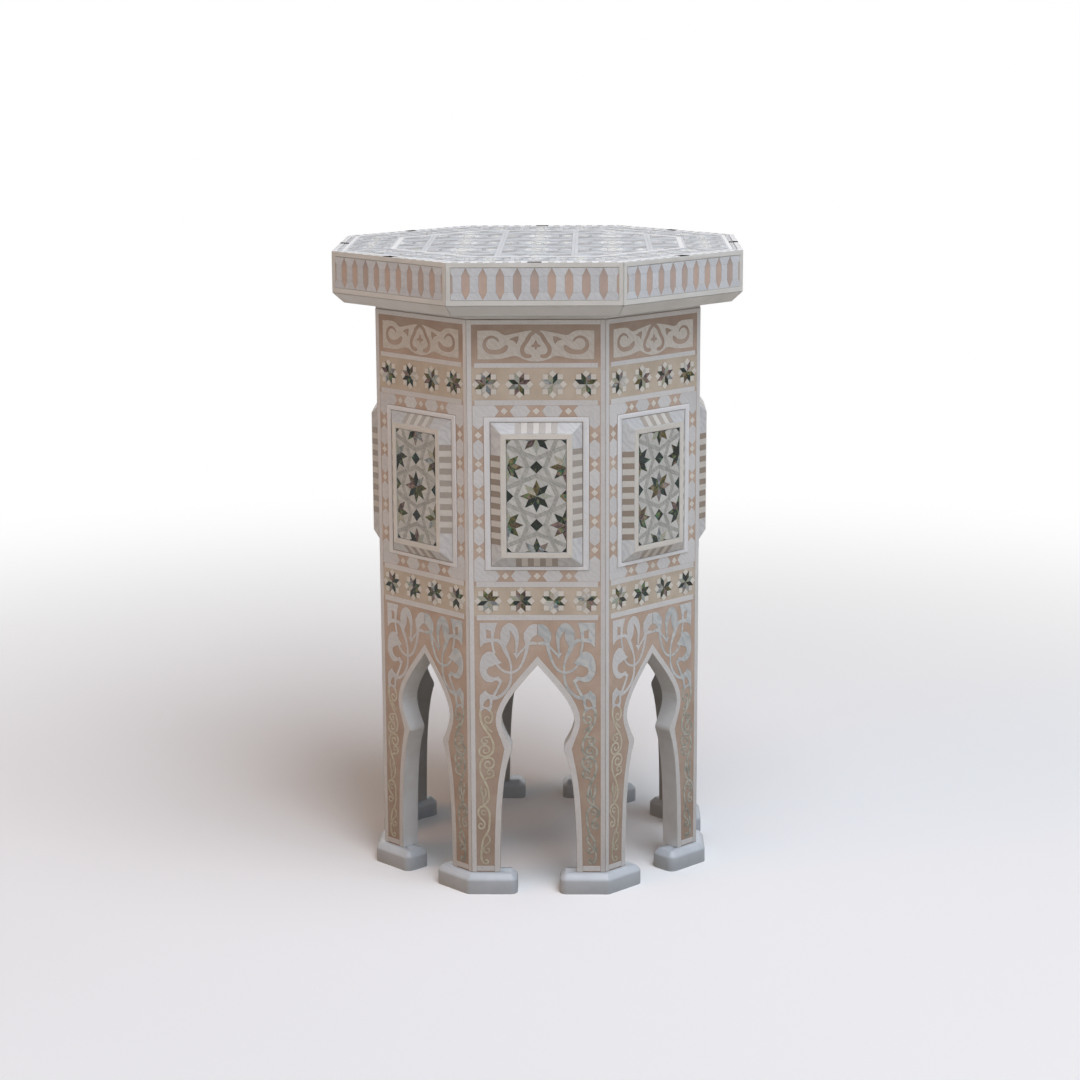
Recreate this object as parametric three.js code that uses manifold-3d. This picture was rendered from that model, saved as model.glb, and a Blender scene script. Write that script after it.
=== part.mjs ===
// Octagonal inlaid side table: eight mitred wall panels with ogee arches stand on eight V-shaped feet
// and carry an octagonal top with a mitred apron and a bevelled cornice. Millimetres, +Z up, the origin
// on the floor under the centre, one flat side facing -Y. Side 1 is that side, and the numbers run
// anticlockwise seen from above; corner 1 lies between side 1 and side 2.
import * as THREE from 'three';
import { mergeVertices } from 'three/addons/utils/BufferGeometryUtils.js';
import Module from 'manifold-3d';

const wasm = await Module();
wasm.setup();

// Whole table
const sideCount = 8;
const bodyWidth = 305; // across the flats of the walls
const topOverhang = 38.5; // of the apron past the walls
const glueLine = 0.3; // clearance at every glued joint
const cutOverrun = 4; // how far a cutter reaches past the stock

// Wall panels
const panelHeight = 525.3;
const panelThickness = 19;

// Ogee arch, heights measured from the panel's foot
const archApexHeight = 202.5;
const archBellyWidth = 68.4;
const archBellyHeight = 149;
const archWaistWidth = 48.6;
const archWaistHeight = 121.3;
const archFootWidth = 72.6;
const waistNoseHeight = 3.5; // half height of the rounded nose at the waist
const waistNoseDepth = 0.9;

// Raised medallion
const medallionWidth = 84.5;
const medallionHeight = 134.5;
const medallionStand = 8; // how far it stands proud of the wall
const medallionBevel = 9.5; // width of its sloping edge
const medallionCentre = 364; // above the panel's foot
const medallionFrame = 5.2; // flat bone frame round the tile
const tileBedDepth = 2;
const tileThickness = 1.1;

// Neck board and cornice
const neckThickness = 15;
const neckReveal = 6.5; // the band that shows under the cornice
const corniceHeight = 9.7;
const corniceSlope = 10; // how far the bevel runs in

// Apron rails and top board
const apronHeight = 38.6;
const railThickness = 18;
const rimWidth = 5; // the lip that shows round the board
const boardThickness = 14;
const inlayDepth = 0.6; // depth of the beds for the inlay
const apronStrip = 4.8; // plain strips above and below the apron's bed
const apronStile = 4.5; // plain strip at each mitre

// Corner glue blocks
const cornerBlockHeight = 60;
const cornerBlockLeg = 24; // along each wall
const cornerBlockDepth = 12; // away from each wall

// Feet
const footHeight = 19;
const footProud = 8.5; // past the wall's outer face
const footInset = 20; // inwards of the wall's outer face
const footSpan = 43.2; // along the wall from the leg's outer corner
const footChamfer = 5;
const footEndRadius = 6;

// Segments of the curved outlines
const archCurveSteps = 8;
const footCurveSteps = 3;

// What follows from the driving sizes
const halfTurn = Math.PI / sideCount;
const bodyFace = bodyWidth / 2;
const topFace = bodyFace + topOverhang;
const panelFoot = footHeight + glueLine;
const panelTop = panelFoot + panelHeight;
const neckFoot = panelTop + glueLine;
const corniceFoot = neckFoot + neckReveal;
const railFoot = corniceFoot + corniceHeight + glueLine;
const railTop = railFoot + apronHeight;
const boardTop = railTop - inlayDepth;
const rebateFloor = boardTop - boardThickness - glueLine;
const halfSide = (face) => face * Math.tan(halfTurn);
const cornerRadius = (face) => face / Math.cos(halfTurn);

// Finishes
const finish = (color, roughness) => new THREE.MeshStandardMaterial({ color, roughness, metalness: 0 });
const whiteLacquer = finish(0xe6e3dd, 0.35);
const peachGround = finish(0xcbb09a, 0.45);
const shellMosaic = finish(0xd3d3cd, 0.3);
const shellAndAbalone = finish(0xa9aca0, 0.3);
const rawWood = finish(0xc9a878, 0.7);

// Turns a closed geometry into a solid that can be cut
function toSolid(geometry) {
  const bare = geometry.clone();
  bare.deleteAttribute('normal');
  bare.deleteAttribute('uv');
  const merged = mergeVertices(bare);
  return new wasm.Manifold(new wasm.Mesh({
    numProp: 3,
    vertProperties: new Float32Array(merged.attributes.position.array),
    triVerts: new Uint32Array(merged.index.array),
  }));
}

// Turns a cut solid back into a geometry
function toGeometry(solid) {
  const mesh = solid.getMesh();
  const geometry = new THREE.BufferGeometry();
  geometry.setAttribute('position', new THREE.BufferAttribute(new Float32Array(mesh.vertProperties), 3));
  geometry.setIndex(new THREE.BufferAttribute(new Uint32Array(mesh.triVerts), 1));
  geometry.computeVertexNormals();
  return geometry;
}

// A box between two corners
function boxBetween(low, high) {
  const box = new THREE.BoxGeometry(high[0] - low[0], high[1] - low[1], high[2] - low[2]);
  return box.translate((low[0] + high[0]) / 2, (low[1] + high[1]) / 2, (low[2] + high[2]) / 2);
}

// A prism with an outline in plan, from one height to another
function plate(outline, foot, thickness) {
  const geometry = new THREE.ExtrudeGeometry(outline, { depth: thickness, bevelEnabled: false });
  return geometry.translate(0, 0, foot);
}

// A regular octagon with its flats at a given distance from the centre
function octagon(face) {
  const corners = Array.from({ length: sideCount }, (_, i) => {
    const angle = (2 * i + 1) * halfTurn;
    return new THREE.Vector2(cornerRadius(face) * Math.cos(angle), cornerRadius(face) * Math.sin(angle));
  });
  return new THREE.Shape(corners);
}

// An outline whose corners can be rounded: each corner is [x, y] or [x, y, radius]
function roundedOutline(corners) {
  const shape = new THREE.Shape();
  corners.forEach(([x, y, radius = 0], i) => {
    const corner = new THREE.Vector2(x, y);
    const before = new THREE.Vector2(...corners.at(i - 1).slice(0, 2));
    const after = new THREE.Vector2(...corners[(i + 1) % corners.length].slice(0, 2));
    const start = corner.clone().add(before.sub(corner).setLength(radius));
    const end = corner.clone().add(after.sub(corner).setLength(radius));
    if (i === 0) {
      shape.moveTo(start.x, start.y);
    } else {
      shape.lineTo(start.x, start.y);
    }
    if (radius > 0) {
      shape.quadraticCurveTo(x, y, end.x, end.y);
    }
  });
  return shape;
}

// A straight bar along one side of the octagon, mitred at both ends. Its section is a list of
// [distance from the centre, height].
function mitredBar(section) {
  const outline = new THREE.Shape(section.map(([out, height]) => new THREE.Vector2(out, height)));
  const geometry = new THREE.ExtrudeGeometry(outline, { depth: 1, bevelEnabled: false });
  const position = geometry.attributes.position;
  for (let i = 0; i < position.count; i += 1) {
    const out = position.getX(i);
    const end = Math.sign(position.getZ(i) * 2 - 1);
    position.setXYZ(i, -end * (halfSide(out) - glueLine / 2), -out, position.getY(i));
  }
  return geometry;
}

// Half of the arch's outline, from the panel's foot up to the apex
function archHalf() {
  const bellyHalf = archBellyWidth / 2;
  const waistHalf = archWaistWidth / 2;
  const footHalf = archFootWidth / 2;
  const crown = archApexHeight - archBellyHeight;
  const shoulder = archBellyHeight - archWaistHeight;
  // Handles of the three long curves, as shares of the span that each one bends across
  const legShares = { wide: 0.96, wideHeight: 0.5, narrow: 0.75, narrowHeight: 0.81 };
  const shoulderShares = { reach: 0.27, rise: 0.24, drop: 0.36 };
  const crownShares = { rise: 0.3, reach: 0.41, drop: 0.31 };
  const widen = (share) => waistHalf + share * (footHalf - waistHalf);
  const half = new THREE.Path();
  half.moveTo(footHalf, 0);
  half.bezierCurveTo(
    widen(legShares.wide), legShares.wideHeight * archWaistHeight,
    widen(legShares.narrow), legShares.narrowHeight * archWaistHeight,
    waistHalf + waistNoseDepth, archWaistHeight - waistNoseHeight,
  );
  half.quadraticCurveTo(
    waistHalf - waistNoseDepth, archWaistHeight,
    waistHalf + waistNoseDepth, archWaistHeight + waistNoseHeight,
  );
  half.bezierCurveTo(
    waistHalf + shoulderShares.reach * (bellyHalf - waistHalf), archWaistHeight + shoulderShares.rise * shoulder,
    bellyHalf, archBellyHeight - shoulderShares.drop * shoulder,
    bellyHalf, archBellyHeight,
  );
  half.bezierCurveTo(
    bellyHalf, archBellyHeight + crownShares.rise * crown,
    crownShares.reach * bellyHalf, archApexHeight - crownShares.drop * crown,
    0, archApexHeight,
  );
  return half.getPoints(archCurveSteps);
}

// A wall panel: a slab with the arch cut up from its foot and both edges mitred
function sidePanel() {
  const edge = halfSide(bodyFace);
  const right = archHalf();
  const left = right.slice(0, -1).map((point) => new THREE.Vector2(-point.x, point.y));
  const outline = new THREE.Shape([
    new THREE.Vector2(edge, 0),
    new THREE.Vector2(edge, panelHeight),
    new THREE.Vector2(-edge, panelHeight),
    new THREE.Vector2(-edge, 0),
    ...left,
    ...right.toReversed(),
  ]);
  const geometry = new THREE.ExtrudeGeometry(outline, { depth: panelThickness, bevelEnabled: false });
  const position = geometry.attributes.position;
  for (let i = 0; i < position.count; i += 1) {
    const out = bodyFace - panelThickness + position.getZ(i);
    const across = position.getX(i);
    const atEdge = Math.abs(across) > edge - glueLine;
    const mitred = atEdge ? Math.sign(across) * (halfSide(out) - glueLine / 2) : across;
    position.setXYZ(i, mitred, -out, panelFoot + position.getY(i));
  }
  return geometry;
}

// The raised block: a box whose outer face is drawn in by the bevel, with a bed for the tile
const tileWidth = medallionWidth - 2 * (medallionBevel + medallionFrame);
const tileHeight = medallionHeight - 2 * (medallionBevel + medallionFrame);
const medallionBack = bodyFace + glueLine;
const medallionFront = bodyFace + medallionStand;
const medallionLevel = panelFoot + medallionCentre;

function medallionBlock() {
  const faceShares = [1 - 2 * medallionBevel / medallionWidth, 1 - 2 * medallionBevel / medallionHeight];
  const depth = medallionFront - medallionBack;
  const body = new THREE.BoxGeometry(medallionWidth, depth, medallionHeight);
  const position = body.attributes.position;
  for (let i = 0; i < position.count; i += 1) {
    if (position.getY(i) < 0) {
      position.setX(i, position.getX(i) * faceShares[0]);
      position.setZ(i, position.getZ(i) * faceShares[1]);
    }
  }
  body.translate(0, -(medallionBack + medallionFront) / 2, medallionLevel);
  const bed = boxBetween(
    [-tileWidth / 2, -medallionFront - cutOverrun, medallionLevel - tileHeight / 2],
    [tileWidth / 2, -medallionFront + tileBedDepth, medallionLevel + tileHeight / 2],
  );
  return toGeometry(toSolid(body).subtract(toSolid(bed)));
}

// The mosaic tile, which lies in the block's bed
function medallionTile() {
  const back = medallionFront - tileBedDepth + glueLine;
  return boxBetween(
    [-tileWidth / 2 + glueLine, -back - tileThickness, medallionLevel - tileHeight / 2 + glueLine],
    [tileWidth / 2 - glueLine, -back, medallionLevel + tileHeight / 2 - glueLine],
  );
}

// An apron rail: lip, rebate and mitres, with a shallow bed for the inlay on its outer face
function apronRail() {
  const inner = topFace - railThickness;
  const bar = mitredBar([
    [inner, railFoot],
    [topFace, railFoot],
    [topFace, railTop],
    [topFace - rimWidth, railTop],
    [topFace - rimWidth, rebateFloor],
    [inner, rebateFloor],
  ]);
  const bedHalf = halfSide(topFace) - apronStile;
  const bed = boxBetween(
    [-bedHalf, -topFace - cutOverrun, railFoot + apronStrip],
    [bedHalf, -topFace + inlayDepth, railTop - apronStrip],
  );
  return toGeometry(toSolid(bar).subtract(toSolid(bed)));
}

// A cornice moulding: a flat soffit and a sloping outer edge
function corniceMoulding() {
  const inner = bodyFace + glueLine;
  return mitredBar([
    [inner, corniceFoot],
    [topFace - corniceSlope, corniceFoot],
    [topFace, corniceFoot + corniceHeight],
    [inner, corniceFoot + corniceHeight],
  ]);
}

// A glue block behind one mitre, modelled at the corner that faces -Y
function cornerBlock() {
  const wall = bodyFace - panelThickness - glueLine;
  const along = new THREE.Vector2(Math.cos(halfTurn), Math.sin(halfTurn));
  const inward = new THREE.Vector2(-Math.sin(halfTurn), Math.cos(halfTurn));
  const corner = new THREE.Vector2(0, -cornerRadius(wall));
  const end = corner.clone().addScaledVector(along, cornerBlockLeg);
  const back = end.clone().addScaledVector(inward, cornerBlockDepth);
  const outline = new THREE.Shape([
    corner,
    end,
    back,
    new THREE.Vector2(-back.x, back.y),
    new THREE.Vector2(-end.x, end.y),
  ]);
  return plate(outline, panelTop - cornerBlockHeight, cornerBlockHeight);
}

// A foot, modelled at the corner that faces -Y: a V in plan with its upper edge chamfered
function foot() {
  const outer = bodyFace + footProud - footChamfer;
  const inner = bodyFace - footInset + footChamfer;
  const along = new THREE.Vector2(Math.cos(halfTurn), Math.sin(halfTurn));
  const outward = new THREE.Vector2(Math.sin(halfTurn), -Math.cos(halfTurn));
  const reach = footSpan - footChamfer - halfSide(bodyFace);
  const endOf = (face) => outward.clone().multiplyScalar(face).addScaledVector(along, reach);
  const outerEnd = endOf(outer);
  const innerEnd = endOf(inner);
  const round = footEndRadius - footChamfer;
  const outline = roundedOutline([
    [0, -cornerRadius(outer)],
    [outerEnd.x, outerEnd.y, round],
    [innerEnd.x, innerEnd.y, round],
    [0, -cornerRadius(inner)],
    [-innerEnd.x, innerEnd.y, round],
    [-outerEnd.x, outerEnd.y, round],
  ]);
  const stock = new THREE.ExtrudeGeometry(outline, {
    depth: footHeight,
    curveSegments: footCurveSteps,
    bevelThickness: footChamfer,
    bevelSize: footChamfer,
    bevelSegments: 1,
  });
  stock.translate(0, 0, -footChamfer);
  const reachOut = bodyWidth;
  const floorCut = boxBetween([-reachOut, -reachOut, -footHeight], [reachOut, reachOut, 0]);
  return toGeometry(toSolid(stock).subtract(toSolid(floorCut)));
}

// Assembly
const table = new THREE.Group();

function add(group, name, geometry, material) {
  const mesh = new THREE.Mesh(geometry, material);
  mesh.name = name;
  group.add(mesh);
}

const boardFace = topFace - rimWidth - glueLine;
add(table, 'top_board', plate(octagon(boardFace), boardTop - boardThickness, boardThickness), shellMosaic);
add(table, 'neck_board', plate(octagon(bodyFace), neckFoot, neckThickness), whiteLacquer);

const sidePieces = {
  apron_rail: [apronRail(), whiteLacquer],
  cornice_moulding: [corniceMoulding(), whiteLacquer],
  side_panel: [sidePanel(), peachGround],
  medallion_block: [medallionBlock(), whiteLacquer],
  medallion_tile: [medallionTile(), shellAndAbalone],
};
const cornerPieces = {
  corner_block: [cornerBlock(), rawWood],
  foot: [foot(), whiteLacquer],
};

for (let i = 0; i < sideCount; i += 1) {
  const side = new THREE.Group();
  side.rotation.z = 2 * i * halfTurn;
  const corner = new THREE.Group();
  corner.rotation.z = (2 * i + 1) * halfTurn;
  table.add(side, corner);
  for (const [name, [geometry, material]] of Object.entries(sidePieces)) {
    add(side, `${name}_${i + 1}`, geometry, material);
  }
  for (const [name, [geometry, material]] of Object.entries(cornerPieces)) {
    add(corner, `${name}_${i + 1}`, geometry, material);
  }
}

export default table;
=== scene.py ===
import bpy, math, random
from functools import partial
from mathutils import Matrix, Vector


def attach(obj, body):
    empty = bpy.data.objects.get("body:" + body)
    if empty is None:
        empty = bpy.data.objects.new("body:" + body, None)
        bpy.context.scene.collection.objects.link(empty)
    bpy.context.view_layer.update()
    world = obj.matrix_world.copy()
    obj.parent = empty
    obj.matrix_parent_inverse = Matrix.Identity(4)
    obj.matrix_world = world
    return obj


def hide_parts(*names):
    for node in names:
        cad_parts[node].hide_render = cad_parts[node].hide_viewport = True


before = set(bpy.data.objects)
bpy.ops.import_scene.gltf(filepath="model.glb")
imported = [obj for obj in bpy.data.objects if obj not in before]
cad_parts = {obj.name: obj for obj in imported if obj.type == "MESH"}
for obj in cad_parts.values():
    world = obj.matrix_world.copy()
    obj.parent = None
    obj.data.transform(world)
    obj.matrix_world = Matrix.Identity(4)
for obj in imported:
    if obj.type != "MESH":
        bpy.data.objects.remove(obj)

for spare in ("Cube", "Light", "Camera"):          # what a new Blender file starts with
    if spare in bpy.data.objects:
        bpy.data.objects.remove(bpy.data.objects[spare])
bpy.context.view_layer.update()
mm = 0.001
touching = 1e-6                                    # points this near in metres are one point
smoothUnder, sharpOver = math.radians(35), math.radians(25)
eighth = math.radians(22.5)                        # half a side of the octagon, as an angle at its middle
tanEighth = math.tan(eighth)


# view and light
view = {"place": (0.04875, -2.39917, 0.82102), "yaw": -1.170, "pitch": 12.062, "roll": -0.300, "lens": 83.23,
        "sensor": 36, "farthest": 50}

def aimCamera():
    yaw, pitch, roll = (math.radians(view[k]) for k in ("yaw", "pitch", "roll"))
    ahead = Vector((math.sin(yaw) * math.cos(pitch), math.cos(yaw) * math.cos(pitch), -math.sin(pitch)))
    level = Vector((math.cos(yaw), -math.sin(yaw), 0))
    up = level.cross(ahead)
    right = math.cos(roll) * level + math.sin(roll) * up
    above = -math.sin(roll) * level + math.cos(roll) * up
    bpy.ops.object.camera_add()
    cam = bpy.context.object
    cam.name = "viewCamera"
    cam.data.lens, cam.data.sensor_width, cam.data.clip_end = view["lens"], view["sensor"], view["farthest"]
    facing = Matrix((right, above, -ahead)).transposed().to_4x4()
    cam.matrix_world = Matrix.Translation(view["place"]) @ facing
    bpy.context.scene.camera = cam

def linear(code):                                  # sRGB hex to the linear values that shaders want
    parts = [int(code[i:i + 2], 16) / 255 for i in (1, 3, 5)]
    return tuple(c / 12.92 if c <= 0.04045 else ((c + 0.055) / 1.055) ** 2.4 for c in parts) + (1.0,)

def addNode(tree, kind, sockets=(), **settings):   # sockets by name or in order; a node gives its first output
    node = tree.nodes.new("ShaderNode" + kind)
    for key, value in settings.items():
        setattr(node, key, value)
    for key, value in sockets.items() if isinstance(sockets, dict) else enumerate(sockets):
        if isinstance(value, bpy.types.Node):
            value = next(out for out in value.outputs if out.enabled)
        if isinstance(value, bpy.types.NodeSocket):
            tree.links.new(value, node.inputs[key])
        else:
            node.inputs[key].default_value = linear(value) if isinstance(value, str) else value
    return node

def emptyTree(owner):
    owner.use_nodes = True
    owner.node_tree.nodes.clear()
    return owner.node_tree

aimCamera()
bpy.context.scene.view_settings.view_transform = "Standard"

lampAim = (0, 0, 0.33)                             # a little above the middle of the table
lamps = [                                          # name, place, size in m, watts, colour
    ("skylight", (0.6, -0.8, 2.5), 1.7, 36.5, "#EEF5FF"),
    ("windowFront", (1.1, -2.7, 2.2), 1.6, 17, "#E6F0FF"),
    ("windowRight", (2.3, -1.5, 1.5), 1.4, 2.0, "#B8CDFF"),
    ("windowLeft", (-2.4, -1.2, 1.5), 1.4, 7.5, "#FFA45C"),
    ("windowBack", (0.3, 2.7, 1.9), 1.6, 5, "#F6F8FF"),
]
for name, place, size, watts, colour in lamps:
    bpy.ops.object.light_add(type="AREA", location=place)
    lamp = bpy.context.object
    lamp.name = name
    lamp.data.size, lamp.data.energy, lamp.data.color = size, watts, linear(colour)[:3]
    lamp.rotation_euler = (Vector(lampAim) - Vector(place)).to_track_quat("-Z", "Y").to_euler()

room = bpy.data.worlds.new("paleRoom")             # white to look at; as light softer, and warmer on the left
bpy.context.scene.world = room
add = partial(addNode, emptyTree(room))
rays = add("LightPath").outputs
seen = add("Math", [rays["Is Camera Ray"], rays["Is Glossy Ray"]], operation="MAXIMUM")
seenToo = add("Math", [seen, rays["Is Transmission Ray"]], operation="MAXIMUM")
wayOut = add("TexCoord")
leftRight = add("SeparateXYZ", [wayOut.outputs["Generated"]])
across = add("MapRange", [leftRight.outputs["X"], -1.0, 1.0])
warmCool = add("Mix", {"Factor": across, "A": "#F3E0C8", "B": "#E9F2FF"}, data_type="RGBA")
ambient = add("Background", {"Color": warmCool, "Strength": 0.31})
backdrop = add("Background", {"Color": "#FFFFFF", "Strength": 1.0})
add("OutputWorld", [add("MixShader", [seenToo, ambient, backdrop])])

floorSize = {"width": 14.0, "fade": (0.45, 1.9), "shadow": (0.15, 0.8)}
bpy.ops.mesh.primitive_plane_add(size=floorSize["width"], location=(0, 0, 0))
floor = bpy.context.object
floor.name = "studioFloor"
paper = bpy.data.materials.new("paleFloorPaper")   # matt paper that fades out into the white room
add = partial(addNode, emptyTree(paper))
spot = add("TexCoord").outputs["Object"]
away = add("VectorMath", [spot], operation="LENGTH")
fade = add("MapRange", [away, *floorSize["fade"]], interpolation_type="SMOOTHSTEP")
eye = add("LightPath").outputs["Is Camera Ray"]
fadeSeen = add("Math", [fade, eye], operation="MULTIPLY")
reachOut = add("MapRange", [away, *floorSize["shadow"]])
bounce = add("Mix", {"Factor": reachOut, "A": "#B5AA9C", "B": "#ECE8E1"}, data_type="RGBA")
shade = add("Mix", {"Factor": eye, "A": bounce, "B": "#FBFAF9"}, data_type="RGBA")
matt = add("BsdfDiffuse", {"Color": shade, "Roughness": 1.0})
white = add("Emission", {"Color": "#FFFFFF", "Strength": 1.0})
add("OutputMaterial", [add("MixShader", [fadeSeen, matt, white])])
floor.data.materials.append(paper)
print("stage: camera, lamps, room and floor are set")


# finishes
def newFinish(name):
    mat = bpy.data.materials.new(name)
    add = partial(addNode, emptyTree(mat))
    return mat, add, add("TexCoord").outputs["Object"]

def stops(ramp, colours):
    band = ramp.color_ramp
    while len(band.elements) < len(colours):
        band.elements.new(0.5)
    for i, (spot, code) in enumerate(colours):
        band.elements[i].position, band.elements[i].color = spot, linear(code)
    return ramp

def polish(add, height, strength, deep, sockets):  # the surface itself, over fine dents so many mm deep
    dents = add("Bump", {"Height": height, "Strength": strength, "Distance": deep * mm})
    return add("BsdfPrincipled", {**sockets, "Normal": dents})

def sealed(mat, skin):                             # the finish, once its surface reaches the output
    addNode(mat.node_tree, "OutputMaterial", [skin])
    return mat

def shellFinish(name, codes, ripple, gloss, toneSwing, coat=0.25, shine=0.5, upFacingShade=0.0,
                spots=(0.28, 0.42, 0.5, 0.58, 0.74)):
    # mother-of-pearl: cut from the shell, ground flat and polished, so growth layers ripple under a soft sheen
    # ripple: width of a growth layer in mm; gloss: least roughness; toneSwing: how far the chips differ;
    # upFacingShade: painted shade on faces that look up
    mat, add, place = newFinish(name)
    tone = add("Attribute", attribute_name="chipTone").outputs["Fac"]
    lay = add("VectorMath", [tone, (6.0, 6.0, 6.0)], operation="MULTIPLY")
    ownShell = add("VectorMath", [place, lay], operation="ADD")  # each chip is from another shell
    cloud = add("TexNoise", {"Vector": ownShell, "Scale": 1 / (ripple * 3 * mm), "Detail": 3.0,
                             "Roughness": 0.55})
    growth = add("TexWave", {"Vector": ownShell, "Scale": 1 / (ripple * 6 * mm), "Distortion": 9.0,
                             "Detail": 2.5, "Detail Scale": 1.4}, bands_direction="DIAGONAL")
    blend = add("Mix", {"Factor": 0.45, "A": cloud, "B": growth.outputs["Fac"]})
    hue = stops(add("ValToRGB", [blend]), list(zip(spots, codes.split())))
    level = add("SeparateXYZ", [place]).outputs["Z"]
    paintedShade = add("MapRange", [level, 0.03, 0.2, 0.86, 1.0])  # painted shade: darker towards the floor, where less light reaches the legs
    if upFacingShade:                                       # painted shade: faces that look up are made darker
        lie = add("SeparateXYZ", [add("NewGeometry").outputs["Normal"]])
        upwardShadeMask = add("MapRange", [lie.outputs["Z"], 0.2, 0.5, 1.0, 1.0 - upFacingShade])
        paintedShade = add("Math", [paintedShade, upwardShadeMask], operation="MULTIPLY")
    bright = add("Math", [tone, toneSwing, paintedShade], operation="MULTIPLY_ADD")
    toned = add("HueSaturation", {"Value": bright, "Color": hue})
    rough = add("MapRange", {"Value": cloud, "To Min": gloss, "To Max": gloss + 0.16})
    fine = add("TexNoise", {"Vector": ownShell, "Scale": 1 / (0.9 * mm), "Detail": 2.0})
    skin = polish(add, fine, 0.12, 0.05, {"Base Color": toned, "Roughness": rough, "IOR": 1.53, "Coat IOR": 1.5,
                                          "Specular IOR Level": shine, "Coat Weight": coat,
                                          "Coat Roughness": 0.12})
    return sealed(mat, skin)

motherOfPearl = shellFinish("polishedMotherOfPearl", "#D3D2D1 #D8D6D5 #DAD5D4 #D5D7D5 #DCDAD9", 1.7, 0.3, 0.05)
strawPearl = shellFinish("strawColouredPearl", "#C9BFA6 #D0C7B0 #D5CCB7 #CBC3AC #D9D2C0", 2.4, 0.3, 0.06,
                         spots=(0.28, 0.4, 0.5, 0.58, 0.74))
bluePearl = shellFinish("blueGreyMotherOfPearl", "#BCC2C3 #C6CACB #CCCDCD #C8CDCC #D1D3D2", 3.4, 0.3, 0.06,
                        spots=(0.27, 0.4, 0.5, 0.58, 0.74))
mossPearl = shellFinish("mossGreyPearl", "#9FA49A #B0B4AA #C0C2B8 #B7BBB0 #CBCABF", 3.4, 0.3, 0.06,
                        spots=(0.28, 0.38, 0.5, 0.58, 0.74))
friezePearl = shellFinish("friezeWarmPearl", "#CFC8BE #D6CFC5 #D8CFC6 #D1CDC3 #DAD3CB", 1.9, 0.3, 0.05)
apronPearl = shellFinish("apronCoolPearl", "#CCCED0 #D1D3D5 #D4D3D5 #CFD2D4 #D6D7D9", 1.7, 0.3, 0.05)
tilePearl = shellFinish("starFieldPearl", "#C6C5BF #D0CFC9 #D4D0CB #CBCDC9 #D7D5CF", 1.9, 0.3, 0.06)
# the medallion block's pearl carries painted shade on its faces that look up
blockPearl = shellFinish("medallionBlockPearl", "#C8C8C9 #D1D1D1 #D5D1CF #CCD0D0 #D9D8D7", 2.6, 0.26, 0.04,
                         coat=0.6, upFacingShade=0.17)
fourSpots = (0.28, 0.45, 0.55, 0.75)
greyShell = shellFinish("greyRiverShell", "#9E9D96 #ABAAA4 #A7A8A2 #B4B3AD", 1.6, 0.3, 0.08, spots=fourSpots)

# the top is used and wiped every day: the same shells, rubbed dull and a little stained
rubbed = {"coat": 0.0, "shine": 0.3}
dashPearl = shellFinish("dashWhitePearl", "#D8D9DA #E1E1E2 #DCDEDF", 1.7, 0.45, 0.03, spots=(0.3, 0.5, 0.7),
                        **rubbed)
topPearl = shellFinish("tableTopPearl", "#B4B7BA #C1C4C7 #C5C4C6 #BCC1C4 #CDCFD2", 1.7, 0.5, 0.07, **rubbed)
topGrey = shellFinish("tableTopGreyShell", "#91908F #A1A09F #9C9D9D #B0AFAE", 1.6, 0.5, 0.12, spots=fourSpots,
                      **rubbed)

def boneFinish(name, pale, dark, coat=0.15):
    # bleached camel bone: sawn and sanded, with short darker pores along its length
    mat, add, place = newFinish(name)
    tone = add("Attribute", attribute_name="chipTone").outputs["Fac"]
    stretch = add("Mapping", {"Vector": place, "Scale": (1.0, 1.0, 0.22)})
    pores = add("TexNoise", {"Vector": stretch, "Scale": 1 / (0.55 * mm), "Detail": 4.0, "Roughness": 0.7})
    patch = add("TexNoise", {"Vector": place, "Scale": 1 / (11 * mm), "Detail": 2.0})
    grain = stops(add("ValToRGB", [pores]), [(0.30, dark), (0.44, pale), (1.0, pale)])
    ageing = add("MapRange", {"Value": patch, "To Min": 0.93, "To Max": 1.05})
    bright = add("Math", [tone, 0.05, ageing], operation="MULTIPLY_ADD")
    toned = add("HueSaturation", {"Value": bright, "Color": grain})
    skin = polish(add, pores, 0.2, 0.05, {"Base Color": toned, "IOR": 1.55, "Roughness": 0.36,
                                          "Coat Weight": coat, "Coat Roughness": 0.2})
    return sealed(mat, skin)

bleachedBone = boneFinish("bleachedCamelBone", "#DCDAD8", "#C2BDB6")
creamBone = boneFinish("creamCamelBone", "#E1DCD3", "#C6BDAE")
creamBar = boneFinish("polishedCreamBone", "#D6D1C9", "#BEB6AA", 0.6)        # the bevels' bars are waxed
# painted sheen: a paler copy of the stained bone, for the bars of the right and end bevels, where the polish
# catches the light
paintedSheenBar = boneFinish("polishedBoneWithPaintedSheen", "#A99F95", "#8F8479", 0.9)
# painted reflection: a lighter, cooler copy of the bleached bone, for the sky on the polished moulding
beadBone = boneFinish("polishedBoneWithPaintedReflection", "#E8E8E9", "#D2CFCB", 0.6)
stainedBar = boneFinish("polishedStainedBone", "#978879", "#7C6D5F", 0.9)

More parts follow.
